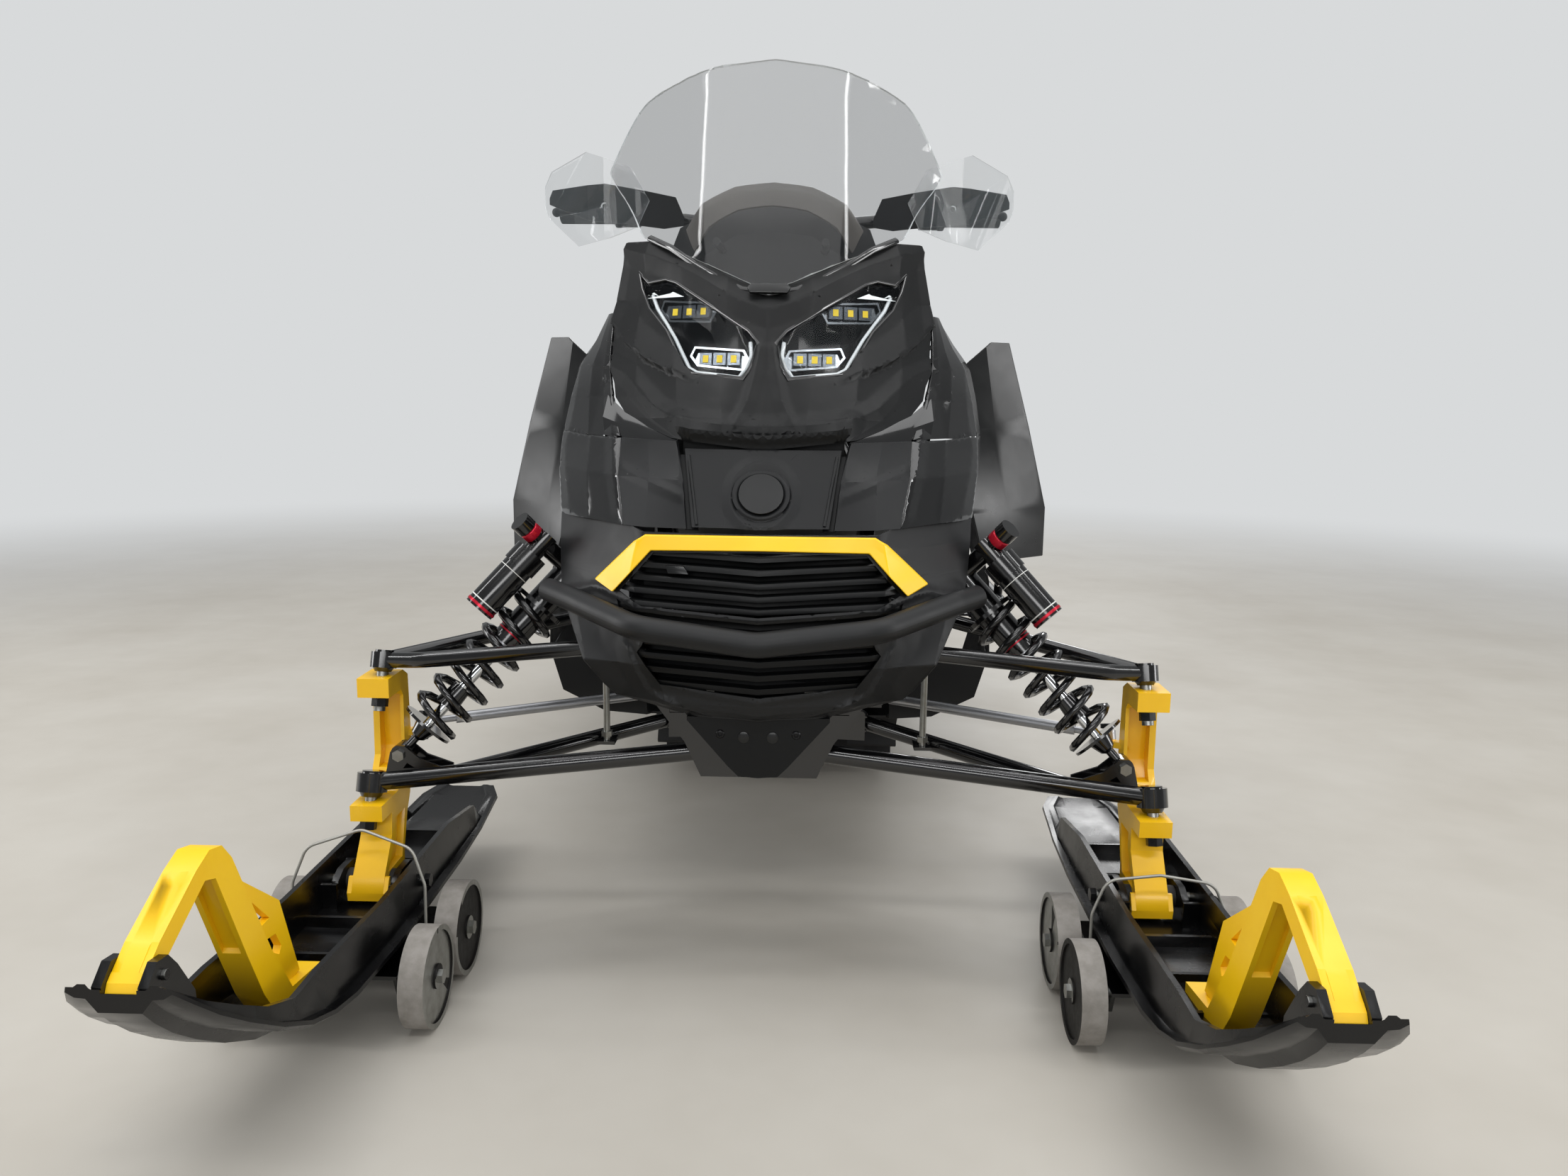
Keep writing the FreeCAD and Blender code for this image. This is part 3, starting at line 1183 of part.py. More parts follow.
def grab_bar_z():
    """Height of the rack's rear grab bar."""
    return tunnel_top(1800) + 40


def tail_lamp():
    """Tail lamp hung under the rack's grab bar."""
    z = grab_bar_z() - 10 - CLEARANCE
    return side_prism([(2276, z), (2274, z - 24), (2300, z - 26), (2308, z)], -84, 84)


def snow_flap():
    """Hanging flap behind the tunnel, with a folded top."""
    z = tunnel_top(TUNNEL_END)
    lap = tunnel_top(2130) + CLEARANCE
    profile = [(2130, lap), (2130, lap + 5), (2216, z + 5), (2420, z - 90), (2650, 214), (2720, 150),
               (2716, 144), (2644, 206), (2414, z - 98), (TUNNEL_END + 4, z - 2), (TUNNEL_END, z + CLEARANCE)]
    half = TUNNEL_HALF - 32
    flap = side_prism(profile, -half, half)
    for x in (-150, -50, 50, 150):
        flap = flap.cut(block(x - 18, x + 18, 2440, 2600, 150, 600))
    return flap


def tow_hitch():
    """Tongue bolted over the flap's fold, with a pin hole behind the grab bar."""
    z = tunnel_top(TUNNEL_END) + 5 + CLEARANCE
    front = tunnel_top(2140) + 5.2 + CLEARANCE
    profile = [(2140, front), (2216, z), (2400, z), (2400, z + HITCH_T), (2216, z + HITCH_T), (2140, front + HITCH_T)]
    tongue = side_prism(profile, -34, 34)
    corners = plan_prism([(-34, 2100), (34, 2100), (34, 2374), (18, 2402), (-18, 2402), (-34, 2374)], z - 20, z + 40)
    bolts = [hex_nut(at(x, 2176, z + HITCH_T + 4), UPWARD, 17, 9, 0) for x in (-18, 18)]
    hitch = union([tongue.common(corners)] + bolts)
    return hitch.cut(drum(at(0, HITCH_PIN_BACK, z + HITCH_T / 2), UPWARD, HITCH_PIN_R, 30))


# Track and suspension under the tunnel

def belt_circles(extra):
    """Circles that carry the track, in the order of travel, as (back, z, radius)."""
    ground = LUG_H + BAND_T
    return [(SPROCKET[0], SPROCKET[1], SPROCKET[2] + extra), (CARRIER[0], CARRIER[1], CARRIER[2] + extra),
            (REAR_IDLER_BACK, ground + REAR_IDLER_R, REAR_IDLER_R + extra), (BOW_BACK, ground + BOW_R, BOW_R + extra)]


def belt_runs(extra):
    """Straight runs of the belt between its circles, as pairs of (back, z) points."""
    circles = belt_circles(extra)
    runs = []
    for first, second in zip(circles, circles[1:] + circles[:1]):
        dx, dz = second[0] - first[0], second[1] - first[1]
        distance = math.hypot(dx, dz)
        base = math.atan2(dz, dx)
        turn = base + math.acos((first[2] - second[2]) / distance)
        nx, nz = math.cos(turn), math.sin(turn)
        runs.append(((first[0] + first[2] * nx, first[1] + first[2] * nz),
                     (second[0] + second[2] * nx, second[1] + second[2] * nz)))
    return runs


def belt_wire(extra, x):
    """Closed belt line at an offset from the carrying surface."""
    circles = belt_circles(extra)
    runs = belt_runs(extra)
    edges = []
    for index, (start, end) in enumerate(runs):
        edges.append(Part.LineSegment(at(x, *start), at(x, *end)).toShape())
        centre = circles[(index + 1) % len(circles)]
        leave = runs[(index + 1) % len(runs)][0]
        a0 = math.atan2(end[1] - centre[1], end[0] - centre[0])
        a1 = math.atan2(leave[1] - centre[1], leave[0] - centre[0])
        while a1 > a0:
            a1 -= 2 * math.pi
        middle = (a0 + a1) / 2
        mid = (centre[0] + centre[2] * math.cos(middle), centre[1] + centre[2] * math.sin(middle))
        edges.append(Part.Arc(at(x, *end), at(x, *mid), at(x, *leave)).toShape())
    return Part.Wire(edges)


def belt_marks(pitch):
    """Evenly spaced points round the outside of the band with their outward directions."""
    wire = belt_wire(BAND_T, 0)
    count = int(wire.Length / pitch)
    points = wire.discretize(Number=count * 8 + 1)
    marks = []
    for index in range(count):
        here = points[index * 8]
        before = points[index * 8 - 1] if index else points[-2]
        after = points[index * 8 + 1]
        tangent = unit(after.sub(before))
        marks.append((here, tangent, unit(ACROSS.cross(tangent))))
    return marks


def track():
    """Rubber track: one band with rows of lugs across it."""
    half = TRACK_W / 2
    outer = Part.Face(belt_wire(BAND_T, -half)).extrude(V(TRACK_W, 0, 0))
    inner = Part.Face(belt_wire(0, -half - 1)).extrude(V(TRACK_W + 2, 0, 0))
    band = outer.cut(inner)
    rows = ([(-half, -150), (-105, 105), (150, half)], [(-190, -60), (60, 190)])
    lugs = []
    for index, (point, tangent, outward) in enumerate(belt_marks(LUG_PITCH)):
        if outward.dot(point.sub(at(0, 1500, 250))) < 0:
            outward = outward.multiply(-1)
        root = step(point, outward, -2)
        tip = step(point, outward, LUG_H)
        outline = [step(root, tangent, -12), step(root, tangent, 12), step(tip, tangent, 5), step(tip, tangent, -5)]
        for x0, x1 in rows[index % 2]:
            corners = [V(x0, corner.y, corner.z) for corner in outline]
            lugs.append(prism(corners, V(x1 - x0, 0, 0)))
    return band.multiFuse(lugs)


def drive_axle():
    """Drive axle with three sprockets."""
    back, z, radius = SPROCKET
    pieces = [rod(at(-TUNNEL_HALF - 8, back, z), at(TUNNEL_HALF + 8, back, z), AXLE_R)]
    for x in (-146, 0, 146):
        pieces.append(drum(at(x, back, z), ACROSS, radius - CLEARANCE, 38))
    return union(pieces)


def slide_rails():
    """Two bowed rails with lightening holes, their sliders, and cross shafts."""
    ground = LUG_H + BAND_T
    pieces = []
    for side in (1, -1):
        x0 = side * RAIL_X - RAIL_T / 2
        x1 = side * RAIL_X + RAIL_T / 2
        rail = side_prism([(952, ground + 66), (1010, ground + 34), (1090, ground + SLIDER_H),
                           (2300, ground + SLIDER_H), (2372, ground + 76), (2340, ground + 108), (2220, ground + 92),
                           (1130, ground + 92), (1010, ground + 104), (960, ground + 90)], x0, x1)
        for index in range(7):
            back = 1180 + 150 * index
            hole = [(back, ground + 34), (back + 60, ground + 34), (back + 80, ground + 72), (back + 20, ground + 72)]
            rail = rail.cut(side_prism(hole, x0 - 1, x1 + 1))
        slider = block(x0 - 6, x1 + 6, 1096, 2240, ground + CLEARANCE, ground + SLIDER_H + 2)
        pieces.extend([rail, slider])
    for back, z in RAIL_SHAFTS:
        pieces.append(rod(at(-RAIL_X, back, z), at(RAIL_X, back, z), AXLE_R - 2))
    rear = (REAR_IDLER_BACK, ground + REAR_IDLER_R)
    return union(pieces).cut(rod(at(-160, *rear), at(160, *rear), AXLE_R + CLEARANCE))


def skid_arms():
    """Front and rear swing arms between the tunnel and the rails, with two shocks."""
    inner = TUNNEL_HALF - TUNNEL_T - CLEARANCE
    pieces = []
    for pivot, foot, half in ((SKID_FRONT_PIVOT, RAIL_SHAFTS[0], 92), (SKID_REAR_PIVOT, RAIL_SHAFTS[2], 92)):
        pieces.append(rod(at(-inner, *pivot), at(inner, *pivot), 14))
        pieces.append(rod(at(-RAIL_X + 10, *foot), at(RAIL_X - 10, *foot), 17, AXLE_R - 2 + CLEARANCE))
        for x in (-half, half):
            arm = rod(at(x, *pivot), at(x, *foot), 13)
            pieces.append(arm.cut(rod(at(x - 20, *foot), at(x + 20, *foot), AXLE_R - 2 + CLEARANCE)))
    for top, low in ((SKID_FRONT_PIVOT, RAIL_SHAFTS[1]), (SKID_REAR_PIVOT, RAIL_SHAFTS[3])):
        axis = unit(at(0, *low).sub(at(0, *top)))
        length = at(0, *low).sub(at(0, *top)).Length
        start = at(0, *top)
        pieces.append(rod(step(start, axis, 10), step(start, axis, 0.55 * length), 22))
        shaft = rod(step(start, axis, 0.5 * length), step(start, axis, length), 8)
        eye = drum(at(0, *low), ACROSS, 16, 26)
        pieces.extend([shaft, eye])
    carrier = at(0, CARRIER[0], CARRIER[1])
    pieces.append(rod(V(-inner, carrier.y, carrier.z), V(inner, carrier.y, carrier.z), AXLE_R - 3))
    frame = union(pieces)
    for back, z in RAIL_SHAFTS:
        frame = frame.cut(rod(at(-130, back, z), at(130, back, z), AXLE_R - 2 + CLEARANCE))
    return frame


def idler_wheels():
    """Carrier wheels, bogies on the rails, and the rear idlers on their axle."""
    ground = LUG_H + BAND_T
    wheels = []
    for x in (-190, 190):
        wheels.append(drum(at(x, CARRIER[0], CARRIER[1]), ACROSS, CARRIER[2] - CLEARANCE, 26, AXLE_R - 3 + CLEARANCE))
    near = RAIL_X + RAIL_T / 2
    for back in BOGIES:
        for side in (1, -1):
            centre = at(side * (near + 26), back, ground + CLEARANCE + BOGIE_R)
            stub = rod(at(side * (near + CLEARANCE), back, ground + CLEARANCE + BOGIE_R), centre, AXLE_R)
            wheels.append(union([drum(centre, ACROSS, BOGIE_R, 24), stub]))
    rear = (REAR_IDLER_BACK, ground + REAR_IDLER_R)
    axle = rod(at(-170, *rear), at(170, *rear), AXLE_R)
    rear_set = [axle]
    for x in (-156, 0, 156):
        rear_set.append(drum(at(x, *rear), ACROSS, REAR_IDLER_R - CLEARANCE, 26))
    wheels.append(union(rear_set))
    return wheels


# Steering gear

def column_point(distance):
    """Point of the steering axis below the handlebar clamp."""
    return step(spot(STEER_TOP), steer_axis(), -distance)


def handlebar():
    """Steering column, clamp and bar."""
    column = rod(column_point(COLUMN_LENGTH), column_point(0), COLUMN_R)
    clamp = block(-46, 46, STEER_TOP[1] - 24, STEER_TOP[1] + 24, STEER_TOP[2] - 18, STEER_TOP[2] + 20)
    x, back, z = STEER_TOP
    points = [at(-GRIP_END + 6, back + 34, z + 18), at(-262, back + 16, z + 16), at(-110, back, z), at(110, back, z),
              at(262, back + 16, z + 16), at(GRIP_END - 6, back + 34, z + 18)]
    bar = bent_tube(points, BAR_R, 60)
    return union([column, clamp, bar])


def grip_run():
    """Ends of the left grip on the bar."""
    x, back, z = STEER_TOP
    outer = at(GRIP_END - 6, back + 34, z + 18)
    inner = at(262, back + 16, z + 16)
    along = unit(inner.sub(outer))
    return outer, along


def grip():
    """Rubber grip, bored for the bar, with a flange."""
    outer, along = grip_run()
    body = rod(step(outer, along, -6), step(outer, along, 104), GRIP_R)
    flange = rod(step(outer, along, 96), step(outer, along, 104), GRIP_R + 6)
    return union([body, flange]).cut(rod(outer, step(outer, along, 110), BAR_R + CLEARANCE))


def control_pod():
    """Switch pod inboard of the grip with its lever."""
    outer, along = grip_run()
    pod = rod(step(outer, along, 106), step(outer, along, 138), 22, BAR_R)
    bracket = flat_bar(step(step(outer, along, 122), ALONG, -10), step(step(outer, along, 122), ALONG, -48), 20, 12, UPWARD)
    start = step(step(outer, along, 122), ALONG, -44)
    lever = bent_tube([start, step(start, along, -36).add(V(0, -8, 0)), step(start, along, -128).add(V(0, -6, -4))], 5, 24)
    knob = Part.makeSphere(8, step(start, along, -128).add(V(0, -6, -4)))
    ring = rod(step(outer, along, 100), step(outer, along, 150), BAR_R)
    return union([pod, bracket, lever, knob]).cut(ring)


def hand_guard():
    """Hand guard: a tapered shell in front of the grip with an arm to the bar."""
    x, back, z = STEER_TOP
    line = [(166, back - 22), (232, back - 44), (330, back - 52), (GRIP_END + 8, back - 34)]
    shell = wall([(z - 14, line), (z + 62, line)], PANEL_T)
    outline = [(160, z - 6), (200, z - 14), (330, z - 4), (GRIP_END + 12, z + 26), (GRIP_END + 2, z + 48),
               (300, z + 58), (180, z + 40)]
    shell = shell.common(front_prism(outline, 300, 800))
    arm = rod(at(212, back - 34, z + 10), at(212, back + 8, z + 8), 8)
    return union([shell, arm]).cut(rod(at(110, back, z), at(262, back + 16, z + 16), BAR_R))


def hand_screen():
    """Clear screen above and below the hand guard."""
    x, back, z = STEER_TOP
    line = [(206, back - 50), (300, back - 64), (404, back - 50)]
    sheet = wall([(z - 60, line), (z + 120, line)], SCREEN_T)
    outline = [(223, z + 30), (254, z + 84), (330, z + 108), (392, z + 76), (412, z + 34), (396, z - 2), (346, z - 48),
               (290, z - 34), (243, z - 14)]
    pane = sheet.common(front_prism(outline, 300, 800))
    pins = [rod(at(300, back - 62, z + 20), at(300, back - 50.4, z + 20), 5)]
    return union([pane] + pins)


def dolly_wheels(side_name, mirror):
    """The two wheel axles under one ski."""
    for name, back in zip(("front", "rear"), DOLLY_AXLES):
        axle = dolly_axle(back)
        save("dolly_axle_" + side_name + "_" + name, [mirrored(axle) if mirror else axle])


WIRE_X = DOLLY_HALF + TIE_WIRE_R + CLEARANCE
HIGH_ROUTE = [(-WIRE_X, -70, 76), (-WIRE_X, -66, 152), (-72, -58, 200), (0, -47, 222), (72, -58, 200),
              (WIRE_X, -66, 152), (WIRE_X, -70, 76)]
LOW_ROUTE = [(-WIRE_X, -70, 76), (-WIRE_X, -70, 134), (-72, -66, 180), (0, -60, 186), (72, -62, 176),
             (WIRE_X, -66, 130), (WIRE_X, -70, 76)]


def main():
    """Write every node of the snowmobile."""
    os.makedirs("parts", exist_ok=True)
    save_pair("spindle", [spindle()])
    save_pair("ski_hardware", spindle_hardware() + ski_fittings())
    save_pair("ski", [ski()])
    save_pair("ski_handle", [ski_handle()])
    save_pair("ski_bushes", pivot_bushes())
    save_pair("ski_dolly", [dolly_frame()])
    save("dolly_wire_left", [tie_wire(LOW_ROUTE)])
    save("dolly_wire_right", [mirrored(tie_wire(HIGH_ROUTE))])
    dolly_wheels("left", False)
    dolly_wheels("right", True)
    save_pair("tie_rod", [tie_rod()])
    save("upper_arms", both(upper_arm()))
    save("lower_arms", both(lower_arm()))
    save("shock_absorbers", both(shock_unit()))
    save("shock_springs", both(spring()))
    link = sway_link() + [shock_low_bolt()]
    bar = sway_bar()
    save("suspension_hardware", link + [mirrored(piece) for piece in link] + [union([bar, mirrored(bar)])])
    save("bulkheads", bulkheads())
    save("front_frame", [front_frame()])
    save("nose_cowl", [nose_cowl()])
    save("grille_backs", [grille_backs()])
    save("brow_trim", [brow_trim()])
    save("front_bumper", [front_bumper()])
    save("skid_plate", [skid_plate()])
    save("hood", [hood()])
    save("badge_disc", [badge_disc()])
    save("headlamp_lenses", lamp_pair(lamp_lens))
    save("headlamp_buckets", lamp_pair(lamp_bucket))
    save("fascia_panels", [hood_panel()] + both(cheek_panel()))
    save("side_panels", both(side_panel()))
    save("side_fins", both(side_fin()))
    save("belly_pan", [belly_pan()] + both(lower_side_panel()))
    save("windshield", [windshield()] + both(side_deflector()))
    save("console", [console()])
    save("engine_block", [engine_block()])
    save("tunnel", [tunnel()])
    save("running_boards", both(running_board()))
    save("seat", [seat()])
    save("cargo_rack", [cargo_rack()])
    save("tail_lamp", [tail_lamp()])
    save("snow_flap", [snow_flap()])
    save("tow_hitch", [tow_hitch()])
    save("track", [track()])
    save("drive_axle", [drive_axle()])
    save("slide_rails", [slide_rails()])
    save("skid_arms", [skid_arms()])
    save("idler_wheels", idler_wheels())
    save("handlebar", [handlebar()])
    save("grips", both(grip()))
    save("controls", both(control_pod()))
    save("hand_guards", both(hand_guard()))
    save("hand_screens", both(hand_screen()))


if __name__ == "__main__":
    main()
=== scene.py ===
"""Finishes, detailed pieces, studio and camera for a wide-track utility snowmobile."""

import json
import logging
import math
from dataclasses import dataclass, field
from enum import Enum
from typing import Any, Callable, Iterable, Sequence

import bmesh
import bpy
from mathutils import Matrix, Vector
from mathutils.bvhtree import BVHTree

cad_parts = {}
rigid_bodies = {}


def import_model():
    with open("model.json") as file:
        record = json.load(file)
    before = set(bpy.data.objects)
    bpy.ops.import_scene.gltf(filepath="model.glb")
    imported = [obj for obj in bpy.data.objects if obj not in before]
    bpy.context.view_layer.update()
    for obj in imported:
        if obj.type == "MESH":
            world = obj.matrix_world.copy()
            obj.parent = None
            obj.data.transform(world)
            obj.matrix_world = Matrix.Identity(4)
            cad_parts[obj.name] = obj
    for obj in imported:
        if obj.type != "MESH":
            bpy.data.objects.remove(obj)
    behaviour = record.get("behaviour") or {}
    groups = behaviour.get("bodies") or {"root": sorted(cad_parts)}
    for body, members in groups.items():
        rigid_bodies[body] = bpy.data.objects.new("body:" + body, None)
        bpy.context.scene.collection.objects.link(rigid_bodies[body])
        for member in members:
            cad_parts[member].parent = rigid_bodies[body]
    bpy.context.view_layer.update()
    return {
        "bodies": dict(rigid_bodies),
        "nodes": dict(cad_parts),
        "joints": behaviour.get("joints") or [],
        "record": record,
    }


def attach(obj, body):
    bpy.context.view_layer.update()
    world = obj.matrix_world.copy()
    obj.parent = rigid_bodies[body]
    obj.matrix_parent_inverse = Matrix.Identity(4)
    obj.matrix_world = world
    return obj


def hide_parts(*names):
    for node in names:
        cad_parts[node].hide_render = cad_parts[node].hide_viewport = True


LOG = logging.getLogger("snowmobile")
MM = 0.001
METRE_MM = 1000.0
# The lower ball joints' place along the machine, in metres.
SPINDLE_Y = -1.060
# Points closer than these, in metres, are one point: on a cut, and in a copied solid.
CUT_M = 1e-6
MERGE_M = 1e-5
AHEAD = Vector((0.0, -1.0, 0.0))
SIDES = ("left", "right")

Pair = tuple[float, float]
Point = tuple[float, float, float]
Row = tuple[float, float, float, float]
Outline = tuple[Pair, ...]
BMesh = bmesh.types.BMesh


def at(x: float, back: float, z: float) -> Vector:
    """Place given in millimetres by its distance behind the lower ball joints.

    Args:
        x: Distance to the rider's left.
        back: Distance behind the lower ball joints.
        z: Height above the floor.

    Returns:
        The place in metres in the frame's axes.
    """
    return Vector((x * MM, SPINDLE_Y + back * MM, z * MM))


def linear(code: str) -> Row:
    """Turn an sRGB hex code into the linear colour that a shader takes.

    Args:
        code: Six hex digits after a hash sign.

    Returns:
        Linear red, green, blue and an alpha of one.
    """
    channels = [int(code[i:i + 2], 16) / 255 for i in (1, 3, 5)]
    lit = [c / 12.92 if c <= 0.04045 else ((c + 0.055) / 1.055) ** 2.4 for c in channels]
    return (lit[0], lit[1], lit[2], 1.0)


def add_node(tree: bpy.types.NodeTree, kind: str, inputs: dict[str | int, Any] | None = None,
             **settings: Any) -> bpy.types.Node:
    """Add a node with its settings, values and links.

    Args:
        tree: The material's node tree.
        kind: The node's type name.
        inputs: Values or output sockets by input name or number.
        settings: Properties of the node itself.

    Returns:
        The new node.
    """
    node = tree.nodes.new(kind)
    for name, value in settings.items():
        setattr(node, name, value)
    for key, value in (inputs or {}).items():
        socket = node.inputs[key]
        if isinstance(value, bpy.types.NodeSocket):
            tree.links.new(value, socket)
        else:
            socket.default_value = value
    return node


class Surface(Enum):
    """How a surface was made, which sets the pattern of its relief."""

    MOULDED_GRAIN = "moulded with a fine leather-like grain"
    ORANGE_PEEL = "powder coated"
    BRUSHED = "drawn or turned metal"
    CAST = "die cast"
    SMOOTH = "polished in the mould"
    WOVEN = "coated fabric"
    SCUFFED = "sliding plastic with scratches along its length"
    RUBBER = "moulded rubber"


# Noise values between which a blotch turns from one colour, or one gloss, to the other.
TINT_SPAN = (0.35, 0.72)
GLOSS_SPAN = (0.3, 0.7)
# Lines left by drawing or sliding run along the machine, so their noise is stretched that way.
STRETCH = (1.0, 0.06, 1.0)
# Where the slope of a moulded cell flattens, as a share of its size.
CELL_TOP = 0.35


@dataclass(frozen=True)
class Finish:
    """One real material and the surface that its making left.

    The relief and the blotches are noise on Object coordinates, at sizes in millimetres.
    """

    name: str
    colour: str
    worn: str
    surface: Surface
    roughness: float
    grain_mm: float = 1.2
    relief_mm: float = 0.05
    blotch_mm: float = 90.0
    metallic: float = 0.0
    coat: float = 0.0
    coat_roughness: float = 0.08
    spread: float = 0.08
    ior: float = 1.5
    alpha: float = 1.0
    sheen: float = 0.0
    specular: float = 0.5

    def build(self) -> bpy.types.Material:
        """Make the material's nodes.

        Returns:
            The finished material.
        """
        material = bpy.data.materials.new(self.name)
        material.use_nodes = True
        tree = material.node_tree
        tree.nodes.clear()
        place = add_node(tree, "ShaderNodeTexCoord").outputs["Object"]
        blotch = add_node(tree, "ShaderNodeTexNoise", {
            "Vector": place, "Scale": METRE_MM / self.blotch_mm, "Detail": 4.0, "Roughness": 0.6})
        colour = add_node(tree, "ShaderNodeValToRGB", {"Fac": blotch.outputs["Fac"]})
        for stop, position, code in zip(colour.color_ramp.elements, TINT_SPAN, (self.colour, self.worn)):
            stop.position = position
            stop.color = linear(code)
        gloss = add_node(tree, "ShaderNodeMapRange", {
            "Value": blotch.outputs["Fac"], "From Min": GLOSS_SPAN[0], "From Max": GLOSS_SPAN[1],
            "To Min": max(self.roughness - self.spread, 0.02),
            "To Max": min(self.roughness + self.spread, 1.0)})
        bump = add_node(tree, "ShaderNodeBump", {
            "Height": self.relief(tree, place), "Distance": self.relief_mm * MM, "Strength": 1.0})
        shader = add_node(tree, "ShaderNodeBsdfPrincipled", {
            "Base Color": colour.outputs["Color"], "Roughness": gloss.outputs["Result"],
            "Metallic": self.metallic, "Normal": bump.outputs["Normal"], "Coat Weight": self.coat,
            "Coat Roughness": self.coat_roughness, "IOR": self.ior, "Alpha": self.alpha,
            "Sheen Weight": self.sheen, "Specular IOR Level": self.specular})
        add_node(tree, "ShaderNodeOutputMaterial", {"Surface": shader.outputs["BSDF"]})
        return material

    def relief(self, tree: bpy.types.NodeTree, place: bpy.types.NodeSocket) -> bpy.types.NodeSocket:
        """Add the height pattern that the surface's making leaves.

        Args:
            tree: The material's node tree.
            place: Object coordinates.

        Returns:
            The height's output socket.
        """
        size = METRE_MM / self.grain_mm
        if self.surface in (Surface.BRUSHED, Surface.SCUFFED):
            turn = add_node(tree, "ShaderNodeMapping", {"Vector": place, "Scale": STRETCH})
            lines = add_node(tree, "ShaderNodeTexNoise", {
                "Vector": turn.outputs["Vector"], "Scale": size, "Detail": 3.0})
            return lines.outputs["Fac"]
        if self.surface in (Surface.MOULDED_GRAIN, Surface.WOVEN):
            cells = add_node(tree, "ShaderNodeTexVoronoi", {"Vector": place, "Scale": size},
                             feature="DISTANCE_TO_EDGE")
            soft = add_node(tree, "ShaderNodeMath", {0: cells.outputs["Distance"], 1: CELL_TOP},
                            operation="MINIMUM")
            return soft.outputs["Value"]
        lumps = add_node(tree, "ShaderNodeTexNoise", {"Vector": place, "Scale": size, "Detail": 2.0})
        return lumps.outputs["Fac"]


# Polypropylene moulded with a fine grain: matte black that greys softly where light grazes it.
GRAINED_PP = Finish("moulded polypropylene black", "#090a0b", "#0d0e0f", Surface.MOULDED_GRAIN,
                    roughness=0.46, grain_mm=1.4, relief_mm=0.05, specular=0.22)
# The same resin with a coarser grain and more chalk, for the nose and the panels underneath.
NOSE_PP = Finish("moulded polypropylene nose", "#0d0e0f", "#131416", Surface.MOULDED_GRAIN, roughness=0.5,
                 grain_mm=1.6, relief_mm=0.06, specular=0.35)
# Thermoplastic olefin, a step greyer than the mask round it.
CHARCOAL_TPO = Finish("moulded olefin charcoal", "#0e0f10", "#121315", Surface.MOULDED_GRAIN,
                      roughness=0.46, grain_mm=1.6, relief_mm=0.05, specular=0.27)
# High-gloss ABS panels under a clear layer: near-black that mirrors the room.
GLOSS_ABS = Finish("polished ABS gloss black", "#040405", "#060607", Surface.SMOOTH, roughness=0.1,
                   grain_mm=60.0, relief_mm=0.15, coat=0.3, spread=0.02)
# Semi-gloss ABS between the mask and the gloss panels.
SATIN_ABS = Finish("satin ABS black", "#0b0c0d", "#0f1011", Surface.SMOOTH, roughness=0.3, grain_mm=40.0,
                   relief_mm=0.1, spread=0.05, specular=0.4)
# Black-primed housing behind the lamp lens.
LAMP_BLACK = Finish("lamp housing black", "#0c0d0f", "#111214", Surface.SMOOTH, roughness=0.24,
                    grain_mm=20.0, relief_mm=0.05, coat=0.2)
# Pigmented nylon: warm yellow, a little translucent-looking, with soft wide highlights.
YELLOW_NYLON = Finish("moulded nylon yellow", "#f9c80e", "#f4c00c", Surface.SMOOTH, roughness=0.36,
                      grain_mm=3.0, relief_mm=0.05, spread=0.05)
# Powder coat on die-cast aluminium: the same yellow with orange peel.
YELLOW_POWDER = Finish("powder coated casting yellow", "#f4c010", "#edb70c", Surface.ORANGE_PEEL,
                       roughness=0.34, grain_mm=2.2, relief_mm=0.08, coat=0.25)
# Powder coat on steel tube: black with orange peel and broad highlights along each tube.
BLACK_POWDER = Finish("powder coated steel black", "#060607", "#09090a", Surface.ORANGE_PEEL,
                      roughness=0.17, grain_mm=2.4, relief_mm=0.02, coat=0.5, spread=0.04)
# Spring steel under a baked gloss enamel.
SPRING_ENAMEL = Finish("baked enamel spring black", "#09090a", "#0e0e10", Surface.ORANGE_PEEL,
                       roughness=0.22, grain_mm=3.0, relief_mm=0.04, coat=0.4)
# Drawn aluminium, clear anodised: pale grey with lines along the rod.
ANODISED_ROD = Finish("anodised aluminium drawn", "#b4b5b8", "#a5a6aa", Surface.BRUSHED, roughness=0.34,
                      grain_mm=0.8, relief_mm=0.02, metallic=1.0)
# Zinc-plated steel fasteners: greyish with blue and yellow blotches.
ZINC_STEEL = Finish("zinc plated steel", "#9b9c9a", "#8a8a84", Surface.CAST, roughness=0.36, grain_mm=4.0,
                    relief_mm=0.04, blotch_mm=18.0, metallic=1.0)
# Hard-chromed shaft: a clear dark-and-light mirror.
CHROME_SHAFT = Finish("hard chromed steel", "#d4d6d8", "#cfd1d3", Surface.SMOOTH, roughness=0.08,
                      grain_mm=20.0, relief_mm=0.01, metallic=1.0, spread=0.03)
# Vacuum-metallised reflector inside the lamps.
REFLECTOR = Finish("metallised reflector", "#8d9398", "#6f757a", Surface.SMOOTH, roughness=0.14,
                   grain_mm=12.0, relief_mm=0.1, metallic=1.0, spread=0.04)
# Ultra-high-weight polyethylene ski: black, waxy, with long scratches.
SKI_UHMW = Finish("polyethylene ski black", "#050506", "#0a0a0b", Surface.SCUFFED, roughness=0.26,
                  grain_mm=2.0, relief_mm=0.05, specular=0.4)
# Moulded natural rubber of the track, bushes and flap.
TRACK_RUBBER = Finish("moulded rubber black", "#171718", "#1f1f20", Surface.RUBBER, roughness=0.72,
                      grain_mm=2.5, relief_mm=0.12)
